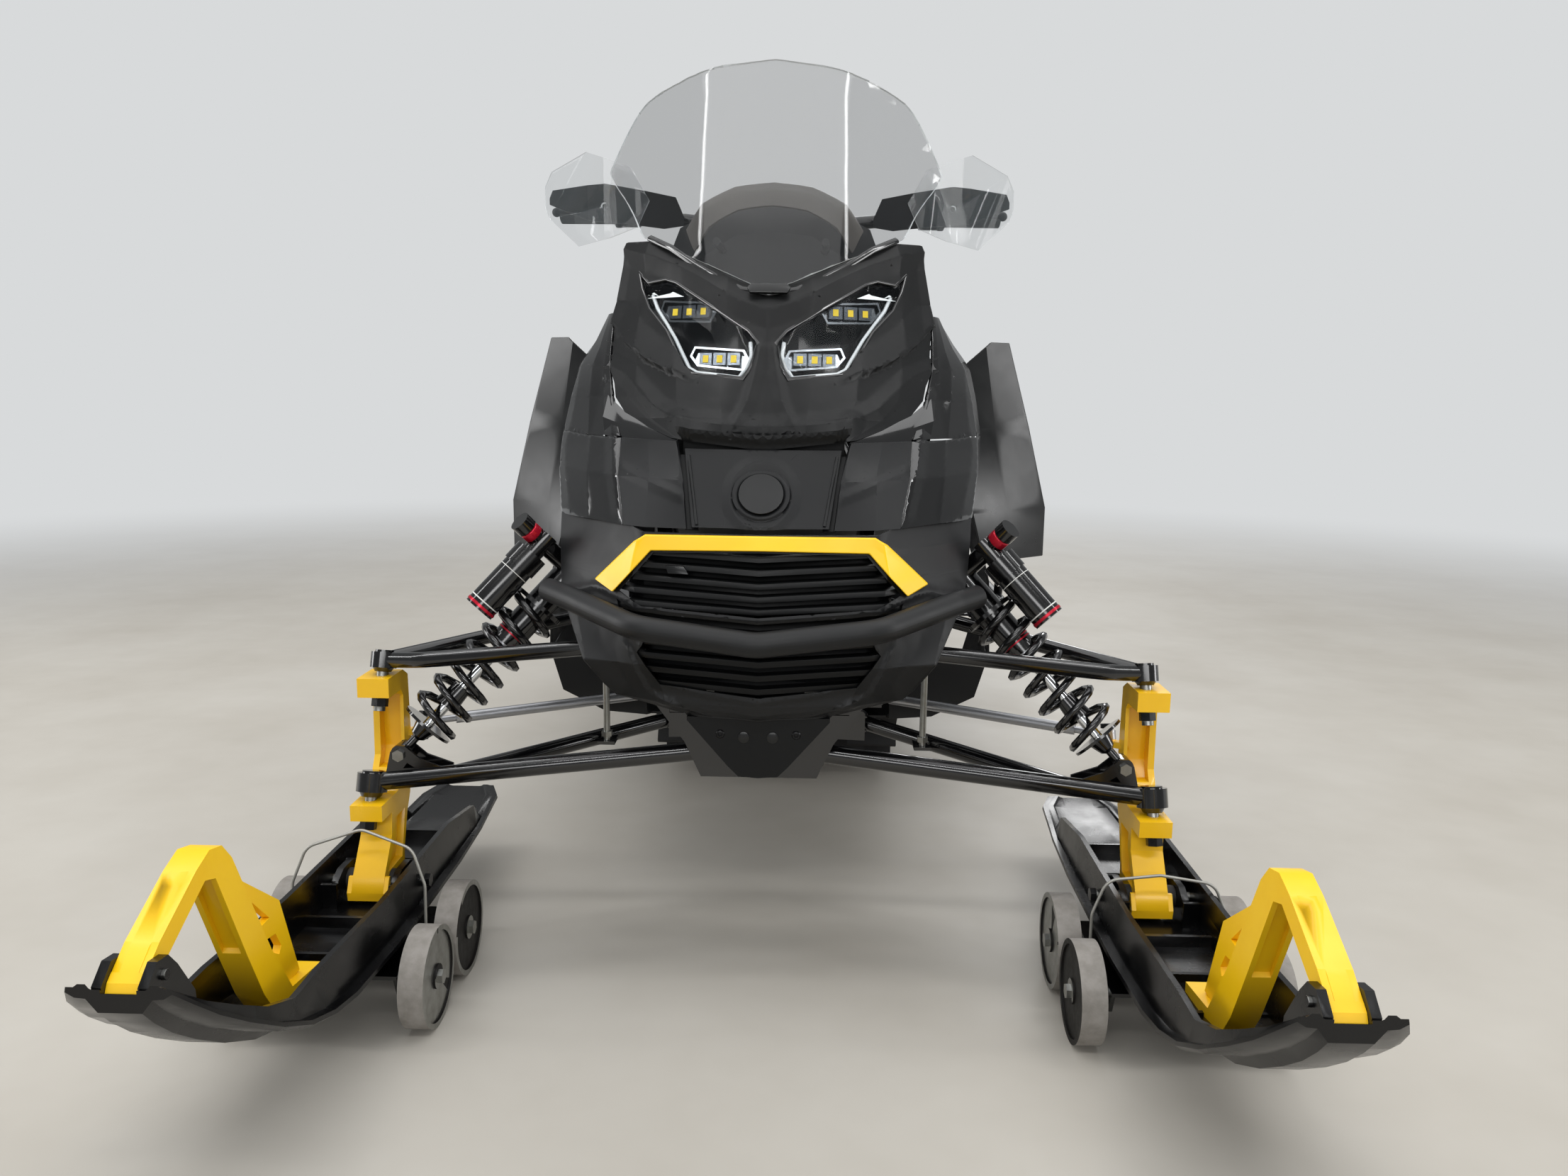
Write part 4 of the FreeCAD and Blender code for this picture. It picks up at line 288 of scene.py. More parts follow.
# Grey polyurethane tread of the dolly wheels, dusty from the floor.
DOLLY_TREAD = Finish("cast polyurethane grey", "#8d8984", "#77736d", Surface.CAST, roughness=0.7,
                     grain_mm=5.0, relief_mm=0.25, blotch_mm=22.0)
# Thin clear polycarbonate: the sheet hardly shows, so a faint grey carries its mirror-like reflections.
CLEAR_PC = Finish("clear polycarbonate sheet", "#7b8387", "#747c80", Surface.SMOOTH, roughness=0.04,
                  grain_mm=80.0, relief_mm=0.02, ior=2.2, alpha=0.13, spread=0.01)
# Lightly smoked polycarbonate of the windshield.
SMOKED_PC = Finish("smoked polycarbonate sheet", "#1d2023", "#181b1d", Surface.SMOOTH, roughness=0.04,
                   grain_mm=90.0, relief_mm=0.02, ior=2.0, alpha=0.21, spread=0.01)
# Hard-coated polycarbonate lens.
LENS_PC = Finish("hard coated polycarbonate lens", "#2b2f32", "#25292c", Surface.SMOOTH, roughness=0.02,
                 grain_mm=60.0, relief_mm=0.02, ior=1.9, alpha=0.07, spread=0.01)
# Painted highlight on the cut edge of the clear sheets: a near-white, nearly opaque strip that stands in for
# the light the polished edge gathers.
PC_EDGE_PAINTED_HIGHLIGHT = Finish("polycarbonate edge painted highlight", "#f2f6f7", "#dfe7e9", Surface.SMOOTH, roughness=0.1,
                 grain_mm=8.0, relief_mm=0.05, coat=0.5, alpha=0.9, spread=0.04)
# Painted shade along the bends of the sheet: a dark, half-opaque strip, while its mirror-like reflection of
# the room comes from the shader.
PC_BEND_PAINTED_SHADE = Finish("polycarbonate bend painted shade", "#24282b", "#1f2326", Surface.SMOOTH, roughness=0.06, grain_mm=8.0,
                 relief_mm=0.02, ior=2.4, alpha=0.6, spread=0.02)
# Frosted guide that carries the running light along the lens.
FROSTED_PC = Finish("frosted polycarbonate guide", "#dfe5e8", "#cfd6da", Surface.CAST, roughness=0.25,
                    grain_mm=3.0, relief_mm=0.03, coat=0.3)
# Reflector cells round the diodes, a shade darker than the frame.
CELL_REFLECTOR = Finish("metallised cell", "#5a6066", "#3f4449", Surface.SMOOTH, roughness=0.24,
                        grain_mm=6.0, relief_mm=0.1, metallic=1.0, spread=0.06)
# Phosphor of the unlit diodes.
DIODE_PHOSPHOR = Finish("diode phosphor yellow", "#e2c832", "#d6b928", Surface.CAST, roughness=0.5,
                        grain_mm=1.0, relief_mm=0.02, specular=0.2)
# Black oxide on alloy steel screws.
BLACK_OXIDE = Finish("black oxide steel", "#141415", "#1d1d1f", Surface.CAST, roughness=0.32, grain_mm=3.0,
                     relief_mm=0.03, blotch_mm=10.0, metallic=0.6)
# Glass-filled nylon hub of the dolly wheels: dull black-brown with scuffs.
HUB_PLASTIC = Finish("glass filled nylon hub", "#0f0e0d", "#1b1917", Surface.CAST, roughness=0.6,
                     grain_mm=4.0, relief_mm=0.15, blotch_mm=16.0, specular=0.25)
# White screen-printed rings.
WHITE_INK = Finish("screen print white", "#d8d8d4", "#c9c9c5", Surface.CAST, roughness=0.45, grain_mm=2.0,
                   relief_mm=0.01)
# Fine perforated mesh over the visor: warm grey-brown between the strands.
VISOR_MESH = Finish("perforated visor moulding", "#4a4641", "#57524c", Surface.WOVEN, roughness=0.5,
                    grain_mm=3.0, relief_mm=0.3, sheen=0.1)
# Vinyl-coated seat fabric with a fine grain.
SEAT_VINYL = Finish("vinyl coated fabric black", "#17181a", "#1d1e20", Surface.WOVEN, roughness=0.55,
                    grain_mm=2.2, relief_mm=0.12, sheen=0.1)
# Black anodised aluminium of the tunnel and boards.
TUNNEL_ALU = Finish("anodised aluminium black", "#15161a", "#1b1c20", Surface.BRUSHED, roughness=0.36,
                    grain_mm=1.2, relief_mm=0.03, metallic=0.7)
# Raw sheet aluminium for brackets.
SHEET_ALU = Finish("mill finish aluminium", "#9ea0a3", "#8d8f92", Surface.BRUSHED, roughness=0.38,
                   grain_mm=1.0, relief_mm=0.03, metallic=1.0)
# Red acrylic of the lamps and reflectors.
RED_ACRYLIC = Finish("moulded acrylic red", "#6d0a10", "#5c070c", Surface.SMOOTH, roughness=0.12,
                     grain_mm=6.0, relief_mm=0.2, coat=0.3, spread=0.03)
# Red anodised aluminium of the shock adjusters.
RED_ANODISED = Finish("anodised aluminium red", "#c01830", "#a91228", Surface.BRUSHED, roughness=0.3,
                      grain_mm=0.8, relief_mm=0.02, metallic=0.5)
# Galvanised wire that ties the dollies.
TIE_WIRE = Finish("galvanised wire", "#a9a8a2", "#8f8e88", Surface.BRUSHED, roughness=0.45, grain_mm=1.0,
                  relief_mm=0.03, metallic=0.6)
# Sealed concrete floor: warm grey with large soft stains.
CONCRETE = Finish("sealed concrete", "#b7b3ab", "#aba69d", Surface.CAST, roughness=0.55, grain_mm=30.0,
                  relief_mm=0.2, blotch_mm=520.0, specular=0.3)


def plate(mesh: BMesh, outline: Sequence[Vector], push: Vector) -> list[bmesh.types.BMVert]:
    """Extrude a flat outline into a closed slab.

    Args:
        mesh: The mesh that it joins.
        outline: Corners of the outline in order, in metres.
        push: Which way, and how far, it is extruded.

    Returns:
        Every vertex of the slab.
    """
    base = [mesh.verts.new(corner) for corner in outline]
    grown = bmesh.ops.extrude_face_region(mesh, geom=[mesh.faces.new(base)], use_keep_orig=True)
    far = [part for part in grown["geom"] if isinstance(part, bmesh.types.BMVert)]
    bmesh.ops.translate(mesh, verts=far, vec=push)
    faces = {face for vert in base + far for face in vert.link_faces}
    bmesh.ops.recalc_face_normals(mesh, faces=list(faces))
    return base + far


def revolve(mesh: BMesh, profile: Sequence[Pair], start: Vector, axis: Vector,
            steps: int = 40) -> None:
    """Spin a profile once round an axis.

    Args:
        mesh: The mesh that it joins.
        profile: Distance along the axis and radius, in millimetres.
        start: The axis's first point.
        axis: The axis's unit direction.
        steps: Segments in the turn.
    """
    side = axis.orthogonal().normalized()
    verts = [mesh.verts.new(start + axis * (along * MM) + side * (radius * MM)) for along, radius in profile]
    edges = [mesh.edges.new(pair) for pair in zip(verts, verts[1:])]
    before = set(mesh.faces)
    bmesh.ops.spin(mesh, geom=verts + edges, cent=start, axis=axis, angle=math.tau, steps=steps,
                   use_merge=True)
    made = [face for face in mesh.faces if face not in before]
    bmesh.ops.remove_doubles(mesh, verts=list({vert for face in made for vert in face.verts}), dist=CUT_M)
    bmesh.ops.recalc_face_normals(mesh, faces=[face for face in mesh.faces if face not in before])


def skin(mesh: BMesh, rows: Sequence[Sequence[Vector]], closed: bool = False) -> None:
    """Bridge a surface through rows of points.

    Args:
        mesh: The mesh that it joins.
        rows: Points of each row, the same number in every row.
        closed: Whether each row's ends meet.
    """
    chains = []
    for row in rows:
        verts = [mesh.verts.new(place) for place in row]
        ahead = verts[1:] + verts[:1] if closed else verts[1:]
        chains.append([mesh.edges.new(pair) for pair in zip(verts, ahead)])
    for low, high in zip(chains, chains[1:]):
        bmesh.ops.bridge_loops(mesh, edges=low + high)


def dissolve_flat(mesh: BMesh) -> None:
    """Join faces that lie flat within a degree."""
    bmesh.ops.dissolve_limit(mesh, angle_limit=math.radians(1.0), verts=mesh.verts, edges=mesh.edges,
                             delimit={"NORMAL"})


def rounded(mesh: BMesh, width_mm: float, above_deg: float = 30.0, segments: int = 2) -> None:
    """Round every edge that is sharper than an angle.

    Args:
        mesh: The mesh to round.
        width_mm: Width of the rounding.
        above_deg: The angle.
        segments: Steps in the rounding.
    """
    sharp = [edge for edge in mesh.edges if len(edge.link_faces) == 2
             and edge.calc_face_angle(0.0) > math.radians(above_deg)]
    bmesh.ops.bevel(mesh, geom=sharp, offset=width_mm * MM, segments=segments, affect="EDGES",
                    profile=0.5, material=-1, clamp_overlap=True)


def screw(mesh: BMesh, place: Vector, outward: Vector, radius_mm: float, height_mm: float) -> None:
    """Add a button-head screw with a hexagonal recess.

    Args:
        mesh: The mesh that it joins.
        place: Centre of its seat.
        outward: Unit direction that the head faces.
        radius_mm: Radius of the head.
        height_mm: Height of the head.
    """
    socket = 0.45 * radius_mm
    mouth = (height_mm, socket + 0.4)
    floor = 0.3 * height_mm
    crown = [(0, radius_mm), (0.45 * height_mm, radius_mm), (0.85 * height_mm, 0.82 * radius_mm), mouth]
    revolve(mesh, crown, place, outward, 18)
    revolve(mesh, [mouth, (height_mm, socket), (floor, socket), (floor, 0)], place, outward, 6)


@dataclass
class Drape:
    """Finds the front of some nodes at a place seen from the front."""

    tree: BVHTree
    heart: Pair
    ahead_mm: float = 600.0
    tries: int = 12
    steps_to_heart: float = 100.0

    @classmethod
    def over(cls, frame: dict[str, Any], *nodes: str) -> "Drape":
        """Gather the surfaces of some nodes.

        Args:
            frame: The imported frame.
            nodes: Names of the nodes.

        Returns:
            The finder over all of them.
        """
        mesh = bmesh.new()
        for node in nodes:
            mesh.from_mesh(frame["nodes"][node].data)
        tree = BVHTree.FromBMesh(mesh)
        heights = [vert.co.z / MM for vert in mesh.verts]
        mesh.free()
        return cls(tree, (0.0, (min(heights) + max(heights)) / 2))

    def spot(self, x: float, z: float, proud_mm: float = 0.0) -> Vector:
        """Point of the front surface, or in front of it by a distance in millimetres.

        A place just past the edge takes the depth of the surface a little nearer its middle.
        """
        for tried in range(self.tries):
            share = tried / self.steps_to_heart
            near_x, near_z = (value + (heart - value) * share for value, heart in zip((x, z), self.heart))
            place, normal, _, _ = self.tree.ray_cast(at(near_x, -self.ahead_mm, near_z), -AHEAD)
            if place is not None:
                return Vector((x * MM, place.y, z * MM)) + normal * (proud_mm * MM)
        raise ValueError(f"nothing is in front at {x}, {z}")


# Half-round section of a bead: shares of half its width and of its rise, from edge to edge.
BEAD_SECTION = ((-1.0, -0.6), (-0.8, 0.5), (-0.4, 0.92), (0.0, 1.0), (0.4, 0.92), (0.8, 0.5), (1.0, -0.6))
BEAD_FACING = Vector((0.0, -0.85, 0.5))


def bead(mesh: BMesh, path: Sequence[Vector], width_mm: float, rise_mm: float) -> None:
    """Lay a half-round bead along a path on surfaces that face forward.

    Args:
        mesh: The mesh that it joins.
        path: Places along the bead, on the surface.
        width_mm: Width of the bead.
        rise_mm: Height of its crown.
    """
    rows = []
    for index, place in enumerate(path):
        ahead = (path[min(index + 1, len(path) - 1)] - path[max(index - 1, 0)]).normalized()
        across = ahead.cross(BEAD_FACING).normalized()
        outward = across.cross(ahead).normalized()
        rows.append([place + across * (share * width_mm / 2 * MM) + outward * (lift * rise_mm * MM)
                     for share, lift in BEAD_SECTION])
    before = set(mesh.faces)
    skin(mesh, rows)
    bmesh.ops.recalc_face_normals(mesh, faces=[face for face in mesh.faces if face not in before])


class Fold(Enum):
    """How a moulded line changes a panel."""

    RIDGE = "rises to the line and fades on both sides"
    STEP = "stands proud on the line's left and drops on its right"


@dataclass(frozen=True)
class Crease:
    """A moulded line on both halves of a panel, seen from the front.

    Its points are distances from the centre plane and heights above the floor, in millimetres.
    """

    points: Outline
    rise_mm: float
    fade_mm: float
    fold: Fold = Fold.RIDGE
    drop_mm: float = 2.5

    def near(self, x: float, z: float) -> Pair:
        """Distance from the line, and on which side.

        Args:
            x: Distance from the centre plane.
            z: Height above the floor.

        Returns:
            The distance and a signed number, positive on the line's left.
        """
        best = (math.inf, 0.0)
        for (x0, z0), (x1, z1) in zip(self.points, self.points[1:]):
            run, climb = x1 - x0, z1 - z0
            share = ((x - x0) * run + (z - z0) * climb) / (run * run + climb * climb)
            share = min(max(share, 0.0), 1.0)
            off = math.hypot(x - x0 - share * run, z - z0 - share * climb)
            if off < best[0]:
                best = (off, run * (z - z0) - climb * (x - x0))
        return best

    def lift(self, x: float, z: float) -> float:
        """How far the panel stands out at a point, in millimetres."""
        off, side = self.near(x, z)
        reach = self.drop_mm if self.fold is Fold.STEP and side < 0 else self.fade_mm
        return self.rise_mm * max(1.0 - off / reach, 0.0)


@dataclass(frozen=True)
class Sculptor:
    """Presses moulded lines into a copy of a panel, along its own surface."""

    creases: tuple[Crease, ...]
    size_mm: float = 7.0
    centre_back: float = 520.0
    rounds: int = 9

    def shape(self, mesh: BMesh) -> None:
        """Cut edges along every line, refine the panel round it, and raise it.

        Args:
            mesh: A merged copy of the panel.
        """
        for crease in self.creases:
            for mirror in (1, -1):
                self.cut(mesh, crease, mirror)
        bmesh.ops.triangulate(mesh, faces=mesh.faces)
        self.refine(mesh)
        mesh.normal_update()
        moves = []
        centre = at(0, self.centre_back, 0).y
        for vert in mesh.verts:
            rise = sum(crease.lift(abs(vert.co.x) / MM, vert.co.z / MM) for crease in self.creases)
            if rise and vert.normal.dot(Vector((vert.co.x, vert.co.y - centre, 0.0))) > 0:
                moves.append((vert, vert.normal * (rise * MM)))
        for vert, move in moves:
            vert.co += move

    def cut(self, mesh: BMesh, crease: Crease, mirror: int) -> None:
        """Cut the faces near a line along its runs.

        Args:
            mesh: The panel.
            crease: The line.
            mirror: 1 for the left half, -1 for the right.
        """
        for (x0, z0), (x1, z1) in zip(crease.points, crease.points[1:]):
            low = Vector((min(x0, x1), min(z0, z1))) - Vector((crease.fade_mm, crease.fade_mm))
            high = Vector((max(x0, x1), max(z0, z1))) + Vector((crease.fade_mm, crease.fade_mm))
            faces = []
            for face in mesh.faces:
                spots = [(mirror * vert.co.x / MM, vert.co.z / MM) for vert in face.verts]
                if (max(s[0] for s in spots) > low.x and min(s[0] for s in spots) < high.x
                        and max(s[1] for s in spots) > low.y and min(s[1] for s in spots) < high.y):
                    faces.append(face)
            edges = {edge for face in faces for edge in face.edges}
            verts = {vert for face in faces for vert in face.verts}
            normal = Vector((mirror * (z1 - z0), 0.0, x0 - x1))
            if normal.length > 0:
                bmesh.ops.bisect_plane(mesh, geom=faces + list(edges) + list(verts), dist=CUT_M,
                                       plane_co=Vector((mirror * x0 * MM, 0.0, z0 * MM)),
                                       plane_no=normal.normalized())

    def refine(self, mesh: BMesh) -> None:
        """Split the long edges near the lines until they are short.

        Args:
            mesh: The panel, of triangles.
        """
        for _ in range(self.rounds):
            long_edges = []
            for edge in mesh.edges:
                length = edge.calc_length() / MM
                if length <= self.size_mm:
                    continue
                middle = (edge.verts[0].co + edge.verts[1].co) / 2
                x, z = abs(middle.x) / MM, middle.z / MM
                if any(crease.near(x, z)[0] < crease.fade_mm + length / 2 for crease in self.creases):
                    long_edges.append(edge)
            if not long_edges:
                break
            bmesh.ops.subdivide_edges(mesh, edges=long_edges, cuts=1)
            bmesh.ops.triangulate(mesh, faces=[face for face in mesh.faces if len(face.verts) > 3])


@dataclass
class FinishShelf:
    """Every finish that has been built, so that each is made once."""

    built: dict[str, bpy.types.Material] = field(default_factory=dict)

    def take(self, finish: Finish) -> bpy.types.Material:
        """Give the material of a finish, and build it the first time.

        Args:
            finish: The finish to look up.

        Returns:
            Its material.
        """
        if finish.name not in self.built:
            self.built[finish.name] = finish.build()
        return self.built[finish.name]


SHELF = FinishShelf()


@dataclass
class Workshop:
    """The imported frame, and the ways that new pieces join it."""

    frame: dict[str, Any]
    node_body: dict[str, str] = field(init=False)
    node_slot: dict[str, str] = field(init=False)

    def __post_init__(self) -> None:
        """Read which body and finish slot each node belongs to."""
        record = self.frame["record"]
        self.node_body = {n: b for b, names in record["behaviour"]["bodies"].items() for n in names}
        self.node_slot = {row["node"]: row["material_slot"] for row in record["subparts"]}

    def paint(self, thing: bpy.types.Object, *finishes: Finish) -> None:
        """Put finishes in an object's material slots, in order.

        Args:
            thing: The object to paint.
            finishes: One finish a slot.
        """
        slots = thing.data.materials
        for index, finish in enumerate(finishes):
            if index < len(slots):
                slots[index] = SHELF.take(finish)
            else:
                slots.append(SHELF.take(finish))

    def piece(self, name: str, mesh: BMesh, like: str, finish: Finish | Sequence[Finish],
              smooth_deg: float) -> bpy.types.Object:
        """Turn a finished bmesh into a piece that rides on a node's body.

        Args:
            name: The piece's name.
            mesh: Its shape, freed here.
            like: The node whose body carries it.
            finish: One finish, or several for its material slots.
            smooth_deg: Edges sharper than this stay hard.

        Returns:
            The new object.
        """
        data = bpy.data.meshes.new(name)
        mesh.to_mesh(data)
        mesh.free()
        thing = bpy.data.objects.new(name, data)
        bpy.context.scene.collection.objects.link(thing)
        finishes = [finish] if isinstance(finish, Finish) else list(finish)
        self.paint(thing, *finishes)
        data.shade_smooth()
        data.set_sharp_from_angle(angle=math.radians(smooth_deg))
        body = self.node_body[like]
        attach(thing, body)
        return thing

    def dressed(self, node: str, finish: Finish | Sequence[Finish],
                shape: Callable[[BMesh], None] | None = None,
                rule: Callable[[bmesh.types.BMFace], int] | None = None, bevel_mm: float = 0.0,
                segments: int = 2, smooth_deg: float = 34.0) -> bpy.types.Object:
        """Replace a node by a finished copy of itself.

        Args:
            node: The CAD node.
            finish: One finish, or several for its material slots.
            shape: Reshapes the merged copy.
            rule: Gives a face's material slot.
            bevel_mm: Width of the rounding of its edges, or nothing for none.
            segments: Steps in the rounding.
            smooth_deg: Edges sharper than this are rounded and stay crisp.

        Returns:
            The new object.
        """
        mesh = bmesh.new()
        mesh.from_mesh(self.frame["nodes"][node].data)
        bmesh.ops.remove_doubles(mesh, verts=mesh.verts, dist=MERGE_M)
        if shape:
            shape(mesh)
        else:
            dissolve_flat(mesh)
        mesh.normal_update()
        if rule:
            for face in mesh.faces:
                face.material_index = rule(face)
        copy = self.piece(node + "_dressed", mesh, node, finish, smooth_deg)
        if bevel_mm:
            bevel = copy.modifiers.new("rounded edges", "BEVEL")
            bevel.width = bevel_mm * MM
            bevel.segments = segments
            bevel.limit_method = "ANGLE"
            bevel.angle_limit = math.radians(smooth_deg)
            bevel.miter_outer = "MITER_SHARP"
            bevel.harden_normals = True
        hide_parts(node)
        return copy


NODES_BY_FINISH: dict[Finish, str] = {
    BLACK_POWDER: "upper_arms lower_arms front_frame cargo_rack shock_absorbers bulkheads tow_hitch "
                  "skid_arms handlebar ski_dolly_left ski_dolly_right",
    SPRING_ENAMEL: "shock_springs",
    ZINC_STEEL: "suspension_hardware drive_axle ski_hardware_left ski_hardware_right",
    NOSE_PP: "nose_cowl front_bumper belly_pan",
    GRAINED_PP: "grille_backs skid_plate hood console controls hand_guards",
    YELLOW_NYLON: "brow_trim ski_handle_left ski_handle_right",
    YELLOW_POWDER: "spindle_left spindle_right",
    CHARCOAL_TPO: "fascia_panels",
    SATIN_ABS: "badge_disc side_fins",
    CLEAR_PC: "headlamp_lenses windshield hand_screens",
    LAMP_BLACK: "headlamp_buckets",
    GLOSS_ABS: "side_panels",
    SHEET_ALU: "engine_block slide_rails",
    TUNNEL_ALU: "tunnel running_boards",
    SEAT_VINYL: "seat",
    RED_ACRYLIC: "tail_lamp",
    TRACK_RUBBER: "snow_flap track idler_wheels grips ski_bushes_left ski_bushes_right",
    SKI_UHMW: "ski_left ski_right",
    TIE_WIRE: "dolly_wire_left dolly_wire_right",
    ANODISED_ROD: "tie_rod_left tie_rod_right",
    DOLLY_TREAD: "dolly_axle_left_front dolly_axle_left_rear dolly_axle_right_front dolly_axle_right_rear",
}
NODE_FINISHES = {node: finish for finish, nodes in NODES_BY_FINISH.items() for node in nodes.split()}

# Width of the rounding of each moulded node's edges.
SOFTENED_MM: dict[str, float] = {
    "spindle_left": 3.0, "spindle_right": 3.0, "ski_handle_left": 4.0, "ski_handle_right": 4.0,
    "ski_left": 2.0, "ski_right": 2.0, "side_fins": 1.5, "belly_pan": 2.0, "console": 1.5, "brow_trim": 2.0,
    "skid_plate": 2.0, "grille_backs": 1.0, "hand_guards": 1.5, "badge_disc": 0.8,
}
# Nodes that an assembly below dresses by itself.
SHAPED = frozenset((
    "ski_hardware_left ski_hardware_right hood fascia_panels side_panels nose_cowl windshield shock_springs "
    "hand_screens headlamp_lenses seat " + NODES_BY_FINISH[DOLLY_TREAD]).split())
PLAIN_SMOOTH_DEG = 30.0


@dataclass(frozen=True)
class PlanSurface:
    """A panel's outside, from plan lines of its left half at several heights, in millimetres.

    Each level is a height and its line: distances from the centre plane and behind the ball joints.
    """

    levels: tuple[tuple[float, Outline], ...]

    def back(self, x: float, z: float) -> float:
        """Distance of the surface behind the lower ball joints.

        Args:
            x: Distance from the centre plane.
            z: Height above the floor.

        Returns:
            The distance in millimetres.
        """
        for (z0, low), (z1, high) in zip(self.levels, self.levels[1:]):
            if z <= z1 or z1 == self.levels[-1][0]:
                share = (z - z0) / (z1 - z0)
                return self.along(low, abs(x)) * (1 - share) + self.along(high, abs(x)) * share
        raise ValueError("a surface needs two levels")

    @staticmethod
    def along(line: Sequence[Pair], x: float) -> float:
        """Distance behind the ball joints of one plan line at a distance from the centre plane."""
        for (x0, b0), (x1, b1) in zip(line, line[1:]):
            if x <= x1 or x1 == line[-1][0]:
                return b0 + (b1 - b0) * (x - x0) / (x1 - x0)
        return line[-1][1]

    def place(self, x: float, z: float, proud_mm: float = 0.0) -> Vector:
        """Point on the surface, or in front of it by a distance in millimetres."""
        return at(x, self.back(x, z) - proud_mm, z)

    def outward(self, x: float, z: float) -> Vector:
        """Unit direction square to the surface, away from the machine."""
        across = self.place(x + 1, z) - self.place(x - 1, z)
        upward = self.place(x, z + 1) - self.place(x, z - 1)
        return across.cross(upward).normalized()


HOOD_SURFACE = PlanSurface((
    (748, ((0, 8), (55, 11), (100, 16), (114, 24))),
    (775, ((0, 28), (55, 34), (110, 60), (160, 104), (200, 150))),
    (803, ((0, 48), (60, 56), (125, 98), (185, 150), (227, 206))),
    (850, ((0, 85), (60, 95), (130, 140), (195, 200), (240, 262))),
    (900, ((0, 122), (60, 135), (130, 180), (198, 240), (245, 310))),
    (950, ((0, 161), (60, 174), (130, 220), (198, 276), (244, 345))),
    (1037, ((0, 228), (60, 240), (125, 270), (188, 304), (228, 352)))))
COWL_SURFACE = PlanSurface((
    (414, ((0, -88), (118, -66), (190, -34))), (465, ((0, -98), (140, -76), (229, -44))),
    (540, ((0, -104), (160, -76), (276, 36))), (575, ((0, -98), (165, -60), (284, 70))),
    (610, ((0, -78), (158, -52), (290, 100))), (640, ((0, -66), (152, -48), (294, 130)))))


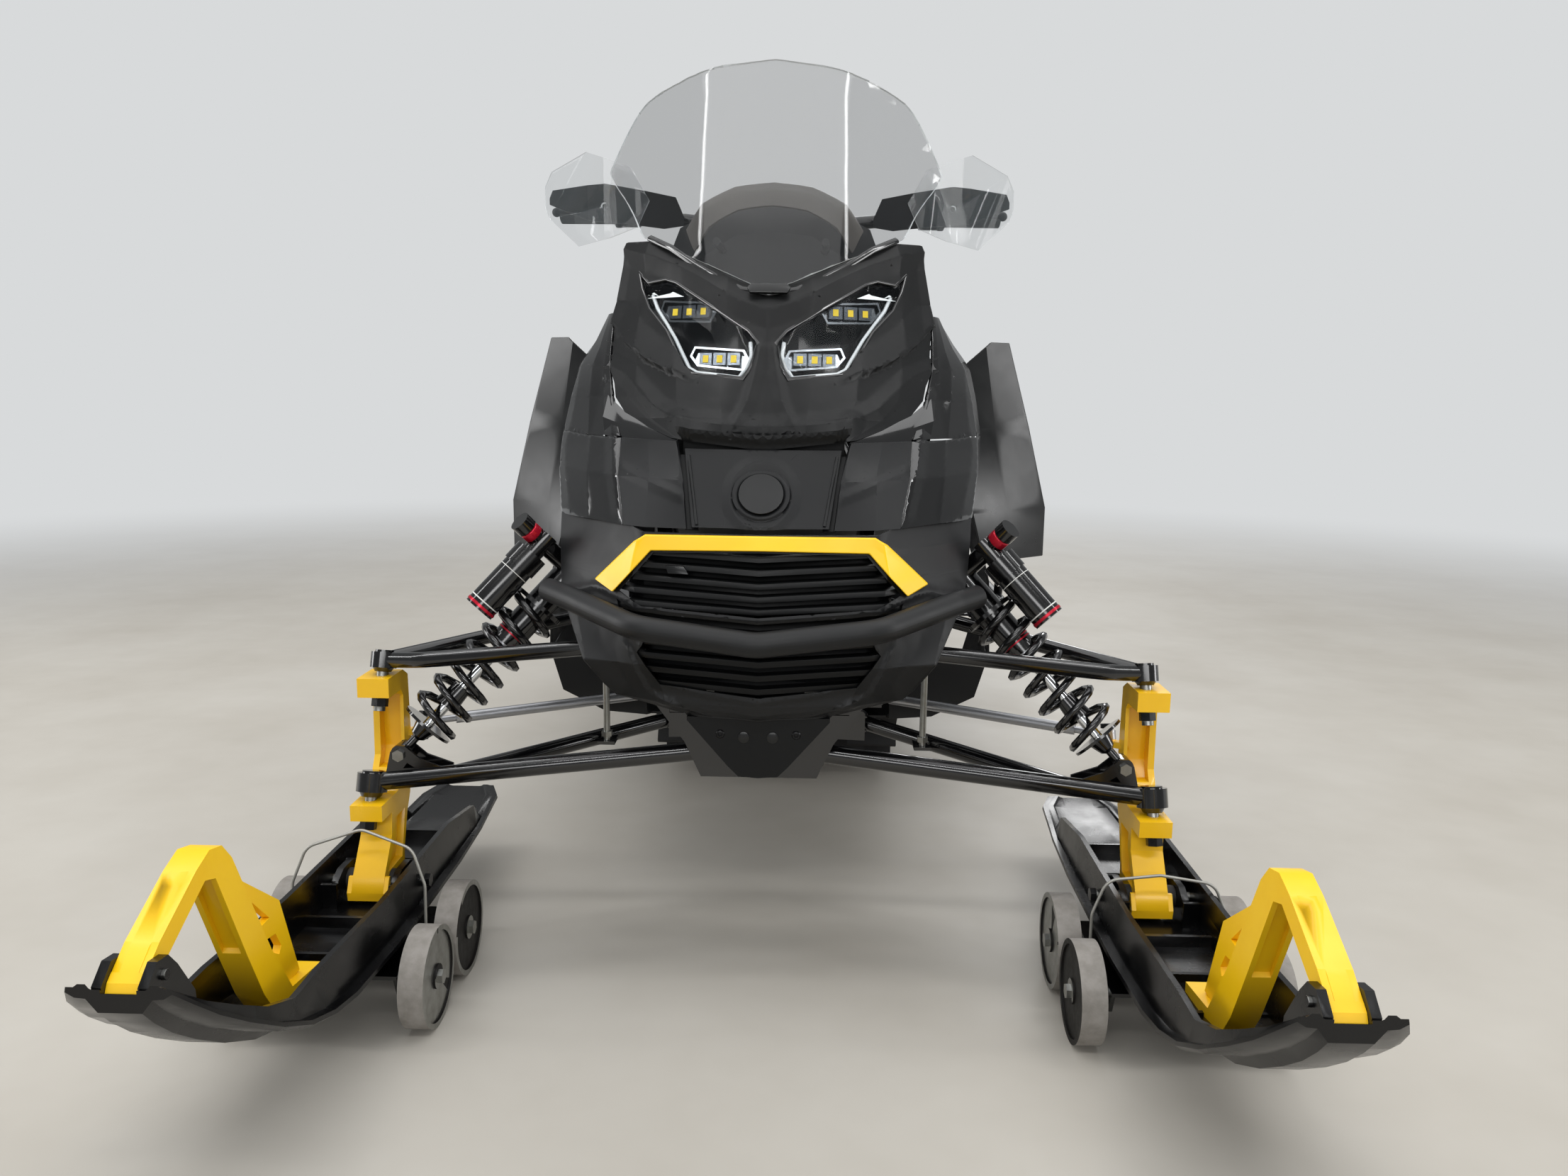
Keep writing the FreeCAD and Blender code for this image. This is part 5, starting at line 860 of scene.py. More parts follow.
@dataclass
class BodyPanels:
    """Moulded lines of the hood mask, the centre and side panels, and the nose cowl."""

    collar: Crease = Crease(((0, 925), (40, 938), (100, 975), (150, 1001), (200, 1019), (236, 1032)),
                            7.0, 24.0)
    spine: Crease = Crease(((8, 872), (13, 838), (22, 800), (34, 776)), 4.5, 12.0)
    wing: Crease = Crease(((137, 839), (175, 856), (213, 882), (239, 910)), 9.0, 40.0, Fold.STEP)
    wing_edge: Crease = Crease(((239, 905), (244, 950), (236, 1005)), 3.0, 14.0)
    lip: Crease = Crease(((0, 764), (57, 767), (115, 772)), 6.5, 20.0)
    lip_centre: Crease = Crease(((0, 738), (0, 764), (0, 790)), 2.0, 34.0)
    chamfer: Crease = Crease(((115, 772), (153, 789), (208, 836), (240, 848)), 5.0, 20.0)
    disc_swell: Crease = Crease(tuple(
        (41 * math.sin(step / 12 * math.pi), 682 + 41 * math.cos(step / 12 * math.pi))
        for step in range(13)), 3.0, 12.0)
    cheek_line: Crease = Crease(((106, 680), (150, 695), (191, 709)), 1.8, 10.0)
    flank_line: Crease = Crease(((236, 812), (222, 760), (206, 705), (190, 655)), 2.5, 14.0)
    flank_swell: Crease = Crease(((300, 850), (296, 790), (300, 730), (276, 655)), 5.0, 40.0)
    cowl_brow: Crease = Crease(((0, 531), (120, 538), (176, 550), (219, 557), (262, 541)), 3.0, 8.0)
    cowl_side: Crease = Crease(((168, 486), (158, 455), (143, 428), (112, 416)), 3.5, 22.0, Fold.STEP)
    cowl_flank: Crease = Crease(((256, 541), (236, 490), (229, 466), (202, 434)), 4.0, 26.0)
    cowl_chin: Crease = Crease(((0, 404), (70, 408), (122, 418)), 3.0, 12.0)
    cowl_keel: Crease = Crease(((0, 402), (0, 424)), 2.0, 30.0)
    frame_low: Crease = Crease(((0, 421), (60, 427), (128, 442), (152, 490)), 2.0, 6.0)

    # Places seen from the front, from the top down.
    rib: Outline = ((98, 730), (94, 708), (89, 682), (84, 655), (82, 645))
    rib_wide_mm: float = 5.0
    rib_rise_mm: float = 2.2
    seam: Outline = ((106, 734), (99, 694), (90, 642))
    seam_half_mm: float = 9.0
    lip_half: Sequence[float] = (-108, -54, 0, 54, 108)
    lip_deep_mm: float = 16.0
    lip_span: Pair = (-20, 10)
    backing_m: float = 0.002
    gusset_m: float = 0.003
    gusset_rows: tuple[tuple[Point, ...], ...] = (
        ((116, 27, 745), (160, 67, 745), (205, 114, 745), (233, 144, 747)),
        ((116, 31, 749), (160, 78, 756), (205, 132, 765), (240, 170, 775)),
        ((118, 36, 753), (161, 100, 766), (207, 166, 783), (240, 216, 806)))

    def build(self, shop: Workshop) -> None:
        """Press the lines into each panel, and add the gussets, the ribs and the seams' backing."""
        hood = Sculptor((self.collar, self.spine, self.wing, self.wing_edge, self.lip, self.lip_centre,
                         self.chamfer))
        shop.dressed("hood", GRAINED_PP, hood.shape, smooth_deg=24.0)
        centre = Sculptor((self.disc_swell, self.cheek_line), 5.0)
        shop.dressed("fascia_panels", CHARCOAL_TPO, centre.shape, smooth_deg=24.0)
        self.gussets(shop)
        self.seams(shop)
        flank = Sculptor((self.flank_line, self.flank_swell), 9.0)
        shop.dressed("side_panels", GLOSS_ABS, flank.shape, smooth_deg=26.0)
        nose = Sculptor((self.cowl_brow, self.cowl_side, self.cowl_flank, self.cowl_chin, self.cowl_keel,
                         self.frame_low), 7.0)
        shop.dressed("nose_cowl", NOSE_PP, nose.shape, smooth_deg=24.0)

    def gussets(self, shop: Workshop) -> None:
        """Close the gap between the mask's lower edge and the cheeks."""
        mesh = bmesh.new()
        for side in (1, -1):
            skin(mesh, [[at(side * x, back, z) for x, back, z in row] for row in self.gusset_rows])
        bmesh.ops.recalc_face_normals(mesh, faces=mesh.faces)
        bmesh.ops.solidify(mesh, geom=mesh.faces, thickness=self.gusset_m)
        shop.piece("shoulder_gussets", mesh, "side_panels", GLOSS_ABS, 26.0)

    def seams(self, shop: Workshop) -> None:
        """Lay a rib beside each seam of the centre panel, and back the seams so that no light shows."""
        front = Drape.over(shop.frame, "fascia_panels", "hood", "side_panels")
        ribs, backing = bmesh.new(), bmesh.new()
        half = self.seam_half_mm
        for side in (1, -1):
            bead(ribs, [front.spot(side * x, z) for x, z in self.rib], self.rib_wide_mm, self.rib_rise_mm)
            skin(backing, [[front.spot(side * (x + off), z, -half) for off in (-half, half)]
                           for x, z in self.seam])
        lip_z = self.gusset_rows[1][0][2]
        skin(backing, [[at(x, HOOD_SURFACE.back(x, lip_z) + self.lip_deep_mm, z) for x in self.lip_half]
                       for z in (lip_z + self.lip_span[0], lip_z + self.lip_span[1])])
        bmesh.ops.recalc_face_normals(backing, faces=backing.faces)
        bmesh.ops.solidify(backing, geom=backing.faces, thickness=-self.backing_m)
        shop.piece("panel_ribs", ribs, "fascia_panels", CHARCOAL_TPO, 50.0)
        shop.piece("seam_backing", backing, "fascia_panels", GRAINED_PP, 30.0)


@dataclass(frozen=True)
class LampModule:
    """One module of a lamp: its corners and middle seen from the front, in millimetres."""

    outline: Outline
    # Fall of its plane across and upward, and its depth at the middle.
    slopes: Point
    middle: Pair
    count: int = 3

    def spot(self, side: int, x: float, z: float, deep: float) -> Vector:
        """Point on the slanted plane, or behind it by a depth in millimetres."""
        across, upward, depth = self.slopes
        return at(side * x, depth + across * (x - self.middle[0]) + upward * (z - self.middle[1]) + deep, z)


def front_face(faces: Iterable[bmesh.types.BMFace]) -> bmesh.types.BMFace:
    """Pick the face whose middle is furthest ahead."""
    return min(faces, key=lambda face: face.calc_center_median().y)


@dataclass
class Headlamps:
    """Two modules a side behind the clear lens, with their cells and a bright guide."""

    upper: LampModule = LampModule(((160, 946), (88, 941), (73, 929), (84, 910), (148, 913), (164, 931)),
                                   (0.70, 0.78, 206.0), (118, 928))
    lower: LampModule = LampModule(((104, 876), (31, 871), (24, 858), (31, 842), (98, 848), (110, 862)),
                                   (0.45, 0.80, 118.0), (66, 859))
    guide: Outline = ((182, 956), (172, 936), (154, 912), (138, 890), (124, 868), (112, 848), (100, 842),
                      (70, 839), (38, 836), (29, 848), (22, 866), (24, 884))
    outline: Outline = ((204, 992), (186, 974), (158, 978), (140, 972), (84, 936), (26, 898), (12, 880),
                        (18, 850), (30, 830), (104, 838), (118, 846), (150, 900), (182, 934), (196, 964),
                        (204, 992))
    bezel_mm: float = 3.2
    depth_mm: float = 9.0
    # The cells' distance inside the module's outline: left, right, below and above.
    margins: Row = (12, 13, 8, 9)
    gap_mm: float = 1.2
    rim_mm: float = 1.1
    chip_half: Pair = (4, 5)
    # Distances of the cells' and the chips' fronts behind the module's plane.
    cell_back: float = 2.0
    chip_back: float = 1.4
    # Shares of the module's depth.
    bezel_dish: float = 0.8
    cell_deep: float = 0.6
    cell_dish: float = 0.45
    chip_deep: float = 0.5
    # Distance out of the lens, or behind it if negative, then width and rise of each bead.
    guide_bead: Point = (-5.0, 6.0, 2.5)
    gasket_bead: Point = (0.3, 5.0, 1.4)

    def build(self, shop: Workshop) -> None:
        """Make the bezels, cells, diodes and guides of both lamps."""
        bezels, cells, diodes, guides, gaskets = (bmesh.new() for _ in range(5))
        lens = Drape.over(shop.frame, "headlamp_lenses", "hood")
        for side in (1, -1):
            for module in (self.upper, self.lower):
                box = self.bezel(bezels, side, module)
                self.cells(cells, diodes, side, module, box)
            for mesh, line, (proud, wide, rise) in ((guides, self.guide, self.guide_bead),
                                                    (gaskets, self.outline, self.gasket_bead)):
                bead(mesh, [lens.spot(side * x, z, proud) for x, z in line], wide, rise)
        shop.piece("headlamp_gaskets", gaskets, "headlamp_buckets", GLOSS_ABS, 50.0)
        shop.piece("headlamp_bezels", bezels, "headlamp_buckets", REFLECTOR, 30.0)
        shop.piece("headlamp_cells", cells, "headlamp_buckets", CELL_REFLECTOR, 30.0)
        shop.piece("headlamp_diodes", diodes, "headlamp_buckets", DIODE_PHOSPHOR, 30.0)
        shop.piece("headlamp_guides", guides, "headlamp_lenses", FROSTED_PC, 30.0)

    def bezel(self, mesh: BMesh, side: int, module: LampModule) -> Row:
        """Make a module's bright frame with its dished front.

        Args:
            mesh: Mesh of the bright frames.
            side: 1 for the left lamp, -1 for the right.
            module: The module.

        Returns:
            The left, right, low and high bounds of the cells in it.
        """
        push = Vector((0.0, self.depth_mm * MM, 0.0))
        before = set(mesh.faces)
        plate(mesh, [module.spot(side, x, z, 0.0) for x, z in module.outline], push)
        sides = len(module.outline)
        front = front_face(face for face in mesh.faces if face not in before and len(face.verts) == sides)
        bmesh.ops.inset_region(mesh, faces=[front], thickness=self.bezel_mm * MM, use_even_offset=True)
        dish = bmesh.ops.extrude_discrete_faces(mesh, faces=[front])["faces"][0]
        bmesh.ops.translate(mesh, verts=dish.verts, vec=push * self.bezel_dish)
        across, heights = [x for x, _ in module.outline], [z for _, z in module.outline]
        left, right, below, above = self.margins
        return min(across) + left, max(across) - right, min(heights) + below, max(heights) - above

    def cells(self, cells: BMesh, diodes: BMesh, side: int, module: LampModule, box: Row) -> None:
        """Fill a module with reflector cells, each with a diode in its middle.

        Args:
            cells: Mesh of the reflector cells.
            diodes: Mesh of the diodes.
            side: 1 for the left lamp, -1 for the right.
            module: The module.
            box: Left, right, low and high bounds of the cells.
        """
        push = Vector((0.0, self.depth_mm * MM, 0.0))
        left, right, low, high = box
        pitch = (right - left) / module.count
        wide, tall = self.chip_half
        for index in range(module.count):
            x0, x1 = left + index * pitch + self.gap_mm, left + (index + 1) * pitch - self.gap_mm
            ring = [(x0, low), (x1, low), (x1, high), (x0, high)]
            known = set(cells.faces)
            plate(cells, [module.spot(side, x, z, self.cell_back) for x, z in ring], push * self.cell_deep)
            face = front_face(face for face in cells.faces if face not in known)
            bmesh.ops.inset_region(cells, faces=[face], thickness=self.rim_mm * MM, use_even_offset=True)
            floor = bmesh.ops.extrude_discrete_faces(cells, faces=[face])["faces"][0]
            bmesh.ops.translate(cells, verts=floor.verts, vec=push * self.cell_dish)
            xm, zm = (x0 + x1) / 2, (low + high) / 2
            chip = [(xm - wide, zm - tall), (xm + wide, zm - tall),
                    (xm + wide, zm + tall), (xm - wide, zm + tall)]
            plate(diodes, [module.spot(side, x, z, self.chip_back) for x, z in chip], push * self.chip_deep)


@dataclass
class ClearScreens:
    """Windshield, hand screens and lamp lenses, with a painted highlight on their cut edges and painted
    shade along the bends of the screens and lenses.
    """

    sheet_mm: float = 3.0
    bend_deg: float = 7.0
    sharp_deg: float = 70.0
    bend_mm: float = 1.6
    grid_mm: float = 14.0
    # The left half of the windshield's outline, and its lowest point, seen from the front.
    outline: Outline = ((186, 1038.4), (200, 1045), (222, 1092), (263, 1146), (261, 1160), (220, 1246),
                        (190, 1272), (110, 1300), (0, 1311))
    bottom: Pair = (0, 952.4)
    foot: Outline = ((188, 1043), (150, 1024), (112, 998), (76, 977), (40, 958), (0, 951))
    seal_wide_mm: float = 11.0
    seal_rise_mm: float = 2.2
    # A rim's face has less than this share of the sheet's thickness as its width, or as half of it.
    rim_share: float = 0.62
    clip: Outline = ((-31, 960), (-27, 952), (27, 952), (31, 960), (25, 966), (-25, 966))
    clip_push: Point = (0.0, 0.007, -0.002)

    def build(self, shop: Workshop) -> None:
        """Dress every clear piece, and add the seal and clip at the windshield's foot."""
        for node, sheet in (("hand_screens", CLEAR_PC), ("headlamp_lenses", LENS_PC)):
            # Each sheet takes a painted highlight on its cut edge and painted shade along its bends.
            shop.dressed(node, (sheet, PC_EDGE_PAINTED_HIGHLIGHT, PC_BEND_PAINTED_SHADE), self.edged, smooth_deg=60.0)
        self.windshield(shop)
        pane = Drape.over(shop.frame, "windshield", "hood")
        seal = bmesh.new()
        half = [pane.spot(x, z, 0.6) for x, z in self.foot]
        whole = half + [Vector((-spot.x, spot.y, spot.z)) for spot in reversed(half[:-1])]
        bead(seal, whole, self.seal_wide_mm, self.seal_rise_mm)
        shop.piece("windshield_seal", seal, "windshield", GLOSS_ABS, 50.0)
        clip = bmesh.new()
        plate(clip, [at(x, 150 + 0.8 * (z - 950), z) for x, z in self.clip], Vector(self.clip_push))
        rounded(clip, 1.6)
        shop.piece("windshield_clip", clip, "windshield", SATIN_ABS, 30.0)

    def windshield(self, shop: Workshop) -> None:
        """Blow the windshield over its solid, with a curved outline, and replace it."""
        pane = Drape.over(shop.frame, "windshield")
        half = self.curved(self.outline)
        ring = [self.bottom] + half + [(-x, z) for x, z in reversed(half) if x]
        mesh = bmesh.new()
        mesh.faces.new([mesh.verts.new(at(x, 0, z)) for x, z in ring])
        wide, high = max(x for x, _ in ring), max(z for _, z in ring)
        for axis, low, top in ((Vector((1, 0, 0)), -wide, wide), (Vector((0, 0, 1)), self.bottom[1], high)):
            for step in range(1, int((top - low) / self.grid_mm) + 1):
                everything = mesh.faces[:] + mesh.edges[:] + mesh.verts[:]
                bmesh.ops.bisect_plane(mesh, geom=everything, dist=CUT_M, plane_no=axis,
                                       plane_co=axis * ((low + step * self.grid_mm) * MM))
        for vert in mesh.verts:
            vert.co.y = pane.spot(vert.co.x / MM, vert.co.z / MM).y
        bmesh.ops.smooth_vert(mesh, verts=mesh.verts, factor=0.5, use_axis_x=False, use_axis_y=True,
                              use_axis_z=False)
        bmesh.ops.recalc_face_normals(mesh, faces=mesh.faces)
        front = set(mesh.verts)
        bmesh.ops.solidify(mesh, geom=mesh.faces, thickness=-self.sheet_mm * MM)
        # The windshield's cut edge takes its second finish, a painted highlight.
        for face in mesh.faces:
            face.material_index = int(0 < sum(vert in front for vert in face.verts) < len(face.verts))
        sheet = shop.piece("windshield_sheet", mesh, "windshield", (SMOKED_PC, PC_EDGE_PAINTED_HIGHLIGHT), 28.0)
        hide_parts("windshield")

    @staticmethod
    def curved(line: Sequence[Pair]) -> list[Pair]:
        """Cut a line's corners twice, keeping its ends."""
        points = list(line)
        for _ in range(2):
            cut = [points[0]]
            for (x0, z0), (x1, z1) in zip(points, points[1:]):
                for share in (0.25, 0.75):
                    cut.append(((1 - share) * x0 + share * x1, (1 - share) * z0 + share * z1))
            points = cut + [points[-1]]
        return points

    def edged(self, mesh: BMesh) -> None:
        """Give the cut edges a painted highlight and every bend a narrow strip of painted shade.

        Args:
            mesh: A merged copy of the sheet.
        """
        dissolve_flat(mesh)
        mesh.normal_update()
        # The cut edges take the second finish, a painted highlight.
        for face in mesh.faces:
            face.material_index = self.rim(face)
        # Each bend gets a narrow strip of painted shade, the third finish.
        bends = [edge for edge in mesh.edges if len(edge.link_faces) == 2
                 and not any(face.material_index for face in edge.link_faces)
                 and math.radians(self.bend_deg) < edge.calc_face_angle(0.0) < math.radians(self.sharp_deg)]
        bmesh.ops.bevel(mesh, geom=bends, offset=self.bend_mm * MM, segments=2, affect="EDGES", profile=0.5,
                        material=2, clamp_overlap=True)

    def rim(self, face: bmesh.types.BMFace) -> int:
        """Finish slot of a face: the second, the painted highlight, for the sheet's cut edge, which is as
        narrow as the sheet.
        """
        width = face.calc_area() / max(edge.calc_length() for edge in face.edges)
        return int(width < self.rim_share * self.sheet_mm * MM * (2.0 if len(face.verts) > 3 else 1.0))


@dataclass
class NoseDetails:
    """Screws and plugs of the skid plate, the side vents and the bare badge place."""

    plugs: Outline = ((19, 366), (-19, 366))
    # Distance out of the plate and radius of a plug, from its rim to its crown.
    plug_profile: Outline = ((0, 7.5), (1.2, 7.5), (2.0, 5.5), (2.4, 0))
    plug_back: float = -60.0
    screws: Outline = ((50, 370), (-50, 370))
    screw_back: float = -59.0
    screw_r: float = 6.0
    screw_tall: float = 3.2
    pad: Outline = ((-121, 594), (-97, 594), (-90, 584), (-117, 584))
    pad_proud: float = 1.5
    pad_m: float = 0.012
    # Middle heights of the side vents' fins, and each fin's corners about its own.
    fins: Sequence[float] = (826, 846, 866, 886)
    fin: Outline = ((241, 0), (258, 3), (241, -9))
    fin_m: float = 0.022

    def build(self, shop: Workshop) -> None:
        """Make the small pieces of the nose."""
        mesh = bmesh.new()
        for x, z in self.plugs:
            revolve(mesh, self.plug_profile, at(x, self.plug_back, z), AHEAD, 24)
        shop.piece("skid_plate_plugs", mesh, "skid_plate", SATIN_ABS, 34.0)
        mesh = bmesh.new()
        for x, z in self.screws:
            screw(mesh, at(x, self.screw_back, z), AHEAD, self.screw_r, self.screw_tall)
        shop.piece("skid_plate_screws", mesh, "skid_plate", BLACK_OXIDE, 34.0)
        mesh = bmesh.new()
        plate(mesh, [COWL_SURFACE.place(x, z, self.pad_proud) for x, z in self.pad], -AHEAD * self.pad_m)
        rounded(mesh, 0.8)
        shop.piece("bare_badge_pad", mesh, "grille_backs", SATIN_ABS, 30.0)
        mesh = bmesh.new()
        for side in (1, -1):
            for middle in self.fins:
                corners = [at(side * x, HOOD_SURFACE.back(240, middle + rise) + 6, middle + rise)
                           for x, rise in self.fin]
                plate(mesh, corners, -AHEAD * self.fin_m)
        rounded(mesh, 0.7)
        shop.piece("side_vent_fins", mesh, "hood", GRAINED_PP, 30.0)


@dataclass
class ShockDress:
    """Bright shafts, collars, rings and adjusters of the two shocks."""

    low: Point = (499.0, 14.0, 313.0)
    top: Point = (198.0, 153.0, 645.0)
    lean: Point = (0.575, -0.446, 0.686)
    body_r: float = 22.0
    shaft_r: float = 7.4
    # Stretches of bare shaft, from the low eye.
    shafts: tuple[Pair, ...] = ((52.4, 85.6), (120.4, 203.6))
    # Distance from the low eye and radius of the collar that ends the long shaft.
    collar: Outline = ((196, 9), (196, 14.5), (197, 15.5), (205, 15.5), (206, 14.5), (206, 9))
    # Start, end, slanted edge and rise of each ring: red on the body, red and white on the reservoir.
    body_rings: tuple[Row, ...] = ((219, 221.4, 0.4, 0.7), (224, 226.4, 0.4, 0.7))
    can_ring: Row = (3, 7.4, 0.4, 0.8)
    can_stripes: tuple[Row, ...] = ((12, 13.8, 0.2, 0.5), (70, 71.2, 0.2, 0.5))
    reservoir_from: float = 216.0
    reservoir_off: float = 63.5
    knob_from: float = 128.0
    # Distance out of the reservoir's cap and radius of the knob.
    knob: Outline = ((13, 0), (13, 9), (16, 14.5), (27, 14.5), (29, 12.5), (29, 0))
    wire_swell: float = 2.0

    def band(self, start: float, end: float, edge: float, rise: float) -> list[Pair]:
        """Profile of a painted or turned ring round the body, with slanted edges."""
        crown = self.body_r + rise
        return [(start, self.body_r), (start + edge, crown), (end - edge, crown), (end, self.body_r)]

    def build(self, shop: Workshop) -> None:
        """Make the pieces of both shocks."""
        shafts, collars, rings, stripes, knobs = (bmesh.new() for _ in range(5))
        for side in (1, -1):
            low, top = (at(side * x, back, z) for x, back, z in (self.low, self.top))
            axis = (top - low).normalized()
            lean = Vector((side * self.lean[0], self.lean[1], self.lean[2]))
            away = (lean - axis * lean.dot(axis)).normalized()
            for start, end in self.shafts:
                revolve(shafts, [(start, self.shaft_r), (end, self.shaft_r)], low, axis, 32)
            revolve(collars, self.collar, low, axis)
            for ring in self.body_rings:
                revolve(rings, self.band(*ring), low, axis)
            can = low + axis * (self.reservoir_from * MM) + away * (self.reservoir_off * MM)
            revolve(rings, self.band(*self.can_ring), can, axis)
            for stripe in self.can_stripes:
                revolve(stripes, self.band(*stripe), can, axis)
            revolve(knobs, self.knob, can + axis * (self.knob_from * MM), away, 12)
        rounded(knobs, 0.8, 24.0)
        shop.dressed("shock_springs", SPRING_ENAMEL, self.thicken, smooth_deg=50.0)
        for name, mesh, finish in (("shafts", shafts, CHROME_SHAFT), ("collars", collars, ANODISED_ROD),
                                   ("rings", rings, RED_ANODISED), ("stripes", stripes, WHITE_INK),
                                   ("knobs", knobs, RED_ANODISED)):
            shop.piece(f"shock_{name}", mesh, "shock_absorbers", finish, 34.0)

    def thicken(self, mesh: BMesh) -> None:
        """Swell the spring's wire to its full gauge."""
        mesh.normal_update()
        for vert, normal in [(vert, vert.normal.copy()) for vert in mesh.verts]:
            vert.co += normal * (self.wire_swell * MM)


@dataclass
class DollyWheels:
    """Two-tone wheels of the ski dollies."""

    axle_backs: Pair = (-148.0, -8.0)
    wheel_r: float = 65.0
    axle_r: float = 9.0
    tread_mm: float = 4.0

    def build(self, shop: Workshop) -> None:
        """Give tread, hub faces and axle ends their own finishes."""
        for side in SIDES:
            for name, back in zip(("front", "rear"), self.axle_backs):
                centre = at(0, back, self.wheel_r)

                def rule(face: bmesh.types.BMFace, centre: Vector = centre) -> int:
                    """Finish slot of a face: tread, hub face or axle."""
                    middle = face.calc_center_median()
                    off = math.hypot(middle.y - centre.y, middle.z - centre.z) / MM
                    if abs(face.normal.x) < 0.5 and off > self.wheel_r - self.tread_mm:
                        return 0
                    return 1 if off > self.axle_r else 2

                shop.dressed(f"dolly_axle_{side}_{name}", (DOLLY_TREAD, HUB_PLASTIC, ZINC_STEEL), rule=rule,
                             bevel_mm=1.6)


@dataclass
class SkiHardware:
    """Black nuts on bright studs."""

    stud_mm: float = 4.0

    def build(self, shop: Workshop) -> None:
        """Give nuts and studs their own finishes."""
        for side in SIDES:
            shop.dressed(f"ski_hardware_{side}", (BLACK_OXIDE, ZINC_STEEL), rule=self.bright,
                         bevel_mm=0.5)

    def bright(self, face: bmesh.types.BMFace) -> int:
        """Finish slot of a face: the second for the slim studs, whose faces are long and narrow."""
        longest = max(edge.calc_length() for edge in face.edges)
        return int(face.calc_area() / longest < self.stud_mm * MM)


@dataclass
class Cockpit:
    """Visor behind the windshield."""

    # The right half of its brow: distance from the centre plane, distance behind the ball joints, height.
    visor: tuple[Point, ...] = ((0, 300, 1128), (60, 304, 1122), (112, 322, 1100), (140, 350, 1062))
    # Sections from its foot to its rear: share of the brow's width, then how far behind and above it.
    sections: tuple[Point, ...] = ((0.86, -20, -42), (0.95, 4, -14), (1.0, 34, 0), (1.0, 70, 6))
    sheet_m: float = 0.003

    def build(self, shop: Workshop) -> None:
        """Make the visor in front of the gauges."""
        mesh = bmesh.new()
        half = list(self.visor)
        line = [(-x, back, z) for x, back, z in reversed(half[1:])] + half
        skin(mesh, [[at(x * wide, back + deep, z + rise) for x, back, z in line]
                    for wide, deep, rise in self.sections])
        bmesh.ops.subdivide_edges(mesh, edges=mesh.edges, cuts=2, use_grid_fill=True)
        bmesh.ops.smooth_vert(mesh, verts=mesh.verts, factor=0.5, use_axis_x=True, use_axis_y=True,
                              use_axis_z=True)
        bmesh.ops.recalc_face_normals(mesh, faces=mesh.faces)
        bmesh.ops.solidify(mesh, geom=mesh.faces, thickness=-self.sheet_m)
        shop.piece("gauge_visor", mesh, "console", VISOR_MESH, 40.0)


@dataclass
class SeatCushion:
    """Foam seat under a coated cover, swelled by pressure."""

    voxel_m: float = 0.006
    shrink_m: float = 0.004
    cap_m: float = 0.012
    pressure: float = 4.0
    smooth_rounds: int = 36
    quality: int = 5
    last_frame: int = 20

    def build(self, shop: Workshop) -> None:
        """Swell a copy of the seat's solid and replace it."""
        mesh = bmesh.new()
        mesh.from_mesh(shop.frame["nodes"]["seat"].data)
        bmesh.ops.remove_doubles(mesh, verts=mesh.verts, dist=MERGE_M)
        mesh.normal_update()
        for vert in mesh.verts:
            vert.co -= vert.normal * self.shrink_m
        cushion = shop.piece("seat_cushion", mesh, "seat", SEAT_VINYL, 60.0)
        self.apply(cushion, "REMESH", mode="VOXEL", voxel_size=self.voxel_m)
        self.apply(cushion, "SMOOTH", factor=0.5, iterations=self.smooth_rounds)
        self.swell(cushion)
        self.apply(cushion, "SUBSURF", levels=1, render_levels=1)
        cushion.data.shade_smooth()
        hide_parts("seat")

    def apply(self, thing: bpy.types.Object, kind: str, **settings: Any) -> None:
        """Add one modifier and apply it to the mesh.

        Args:
            thing: The object.
            kind: The modifier's type.
            settings: The modifier's properties.
        """
        modifier = thing.modifiers.new(kind.lower(), kind)
        for name, value in settings.items():
            setattr(modifier, name, value)
        self.bake(thing)

    def bake(self, thing: bpy.types.Object) -> None:
        """Put an object's evaluated mesh in its place, and drop its modifiers."""
        graph = bpy.context.evaluated_depsgraph_get()
        data = bpy.data.meshes.new_from_object(thing.evaluated_get(graph))
        thing.modifiers.clear()
        thing.data = data

    def swell(self, thing: bpy.types.Object) -> None:
        """Run the pressure simulation and cap how far each point moves."""
        rest = [vert.co.copy() for vert in thing.data.vertices]
        cloth = thing.modifiers.new("cloth", "CLOTH")
        cloth.settings.quality = self.quality
        cloth.settings.use_pressure = True
        cloth.settings.uniform_pressure_force = self.pressure
        cloth.settings.effector_weights.gravity = 0.0
        cloth.point_cache.frame_start = 1
        cloth.point_cache.frame_end = self.last_frame
        scene = bpy.context.scene
        for frame in range(1, self.last_frame + 1):
            scene.frame_set(frame)
        self.bake(thing)
        scene.frame_set(1)
        for vert, start in zip(thing.data.vertices, rest):
            move = vert.co - start
            if move.length > self.cap_m:
                vert.co = start + move.normalized() * self.cap_m


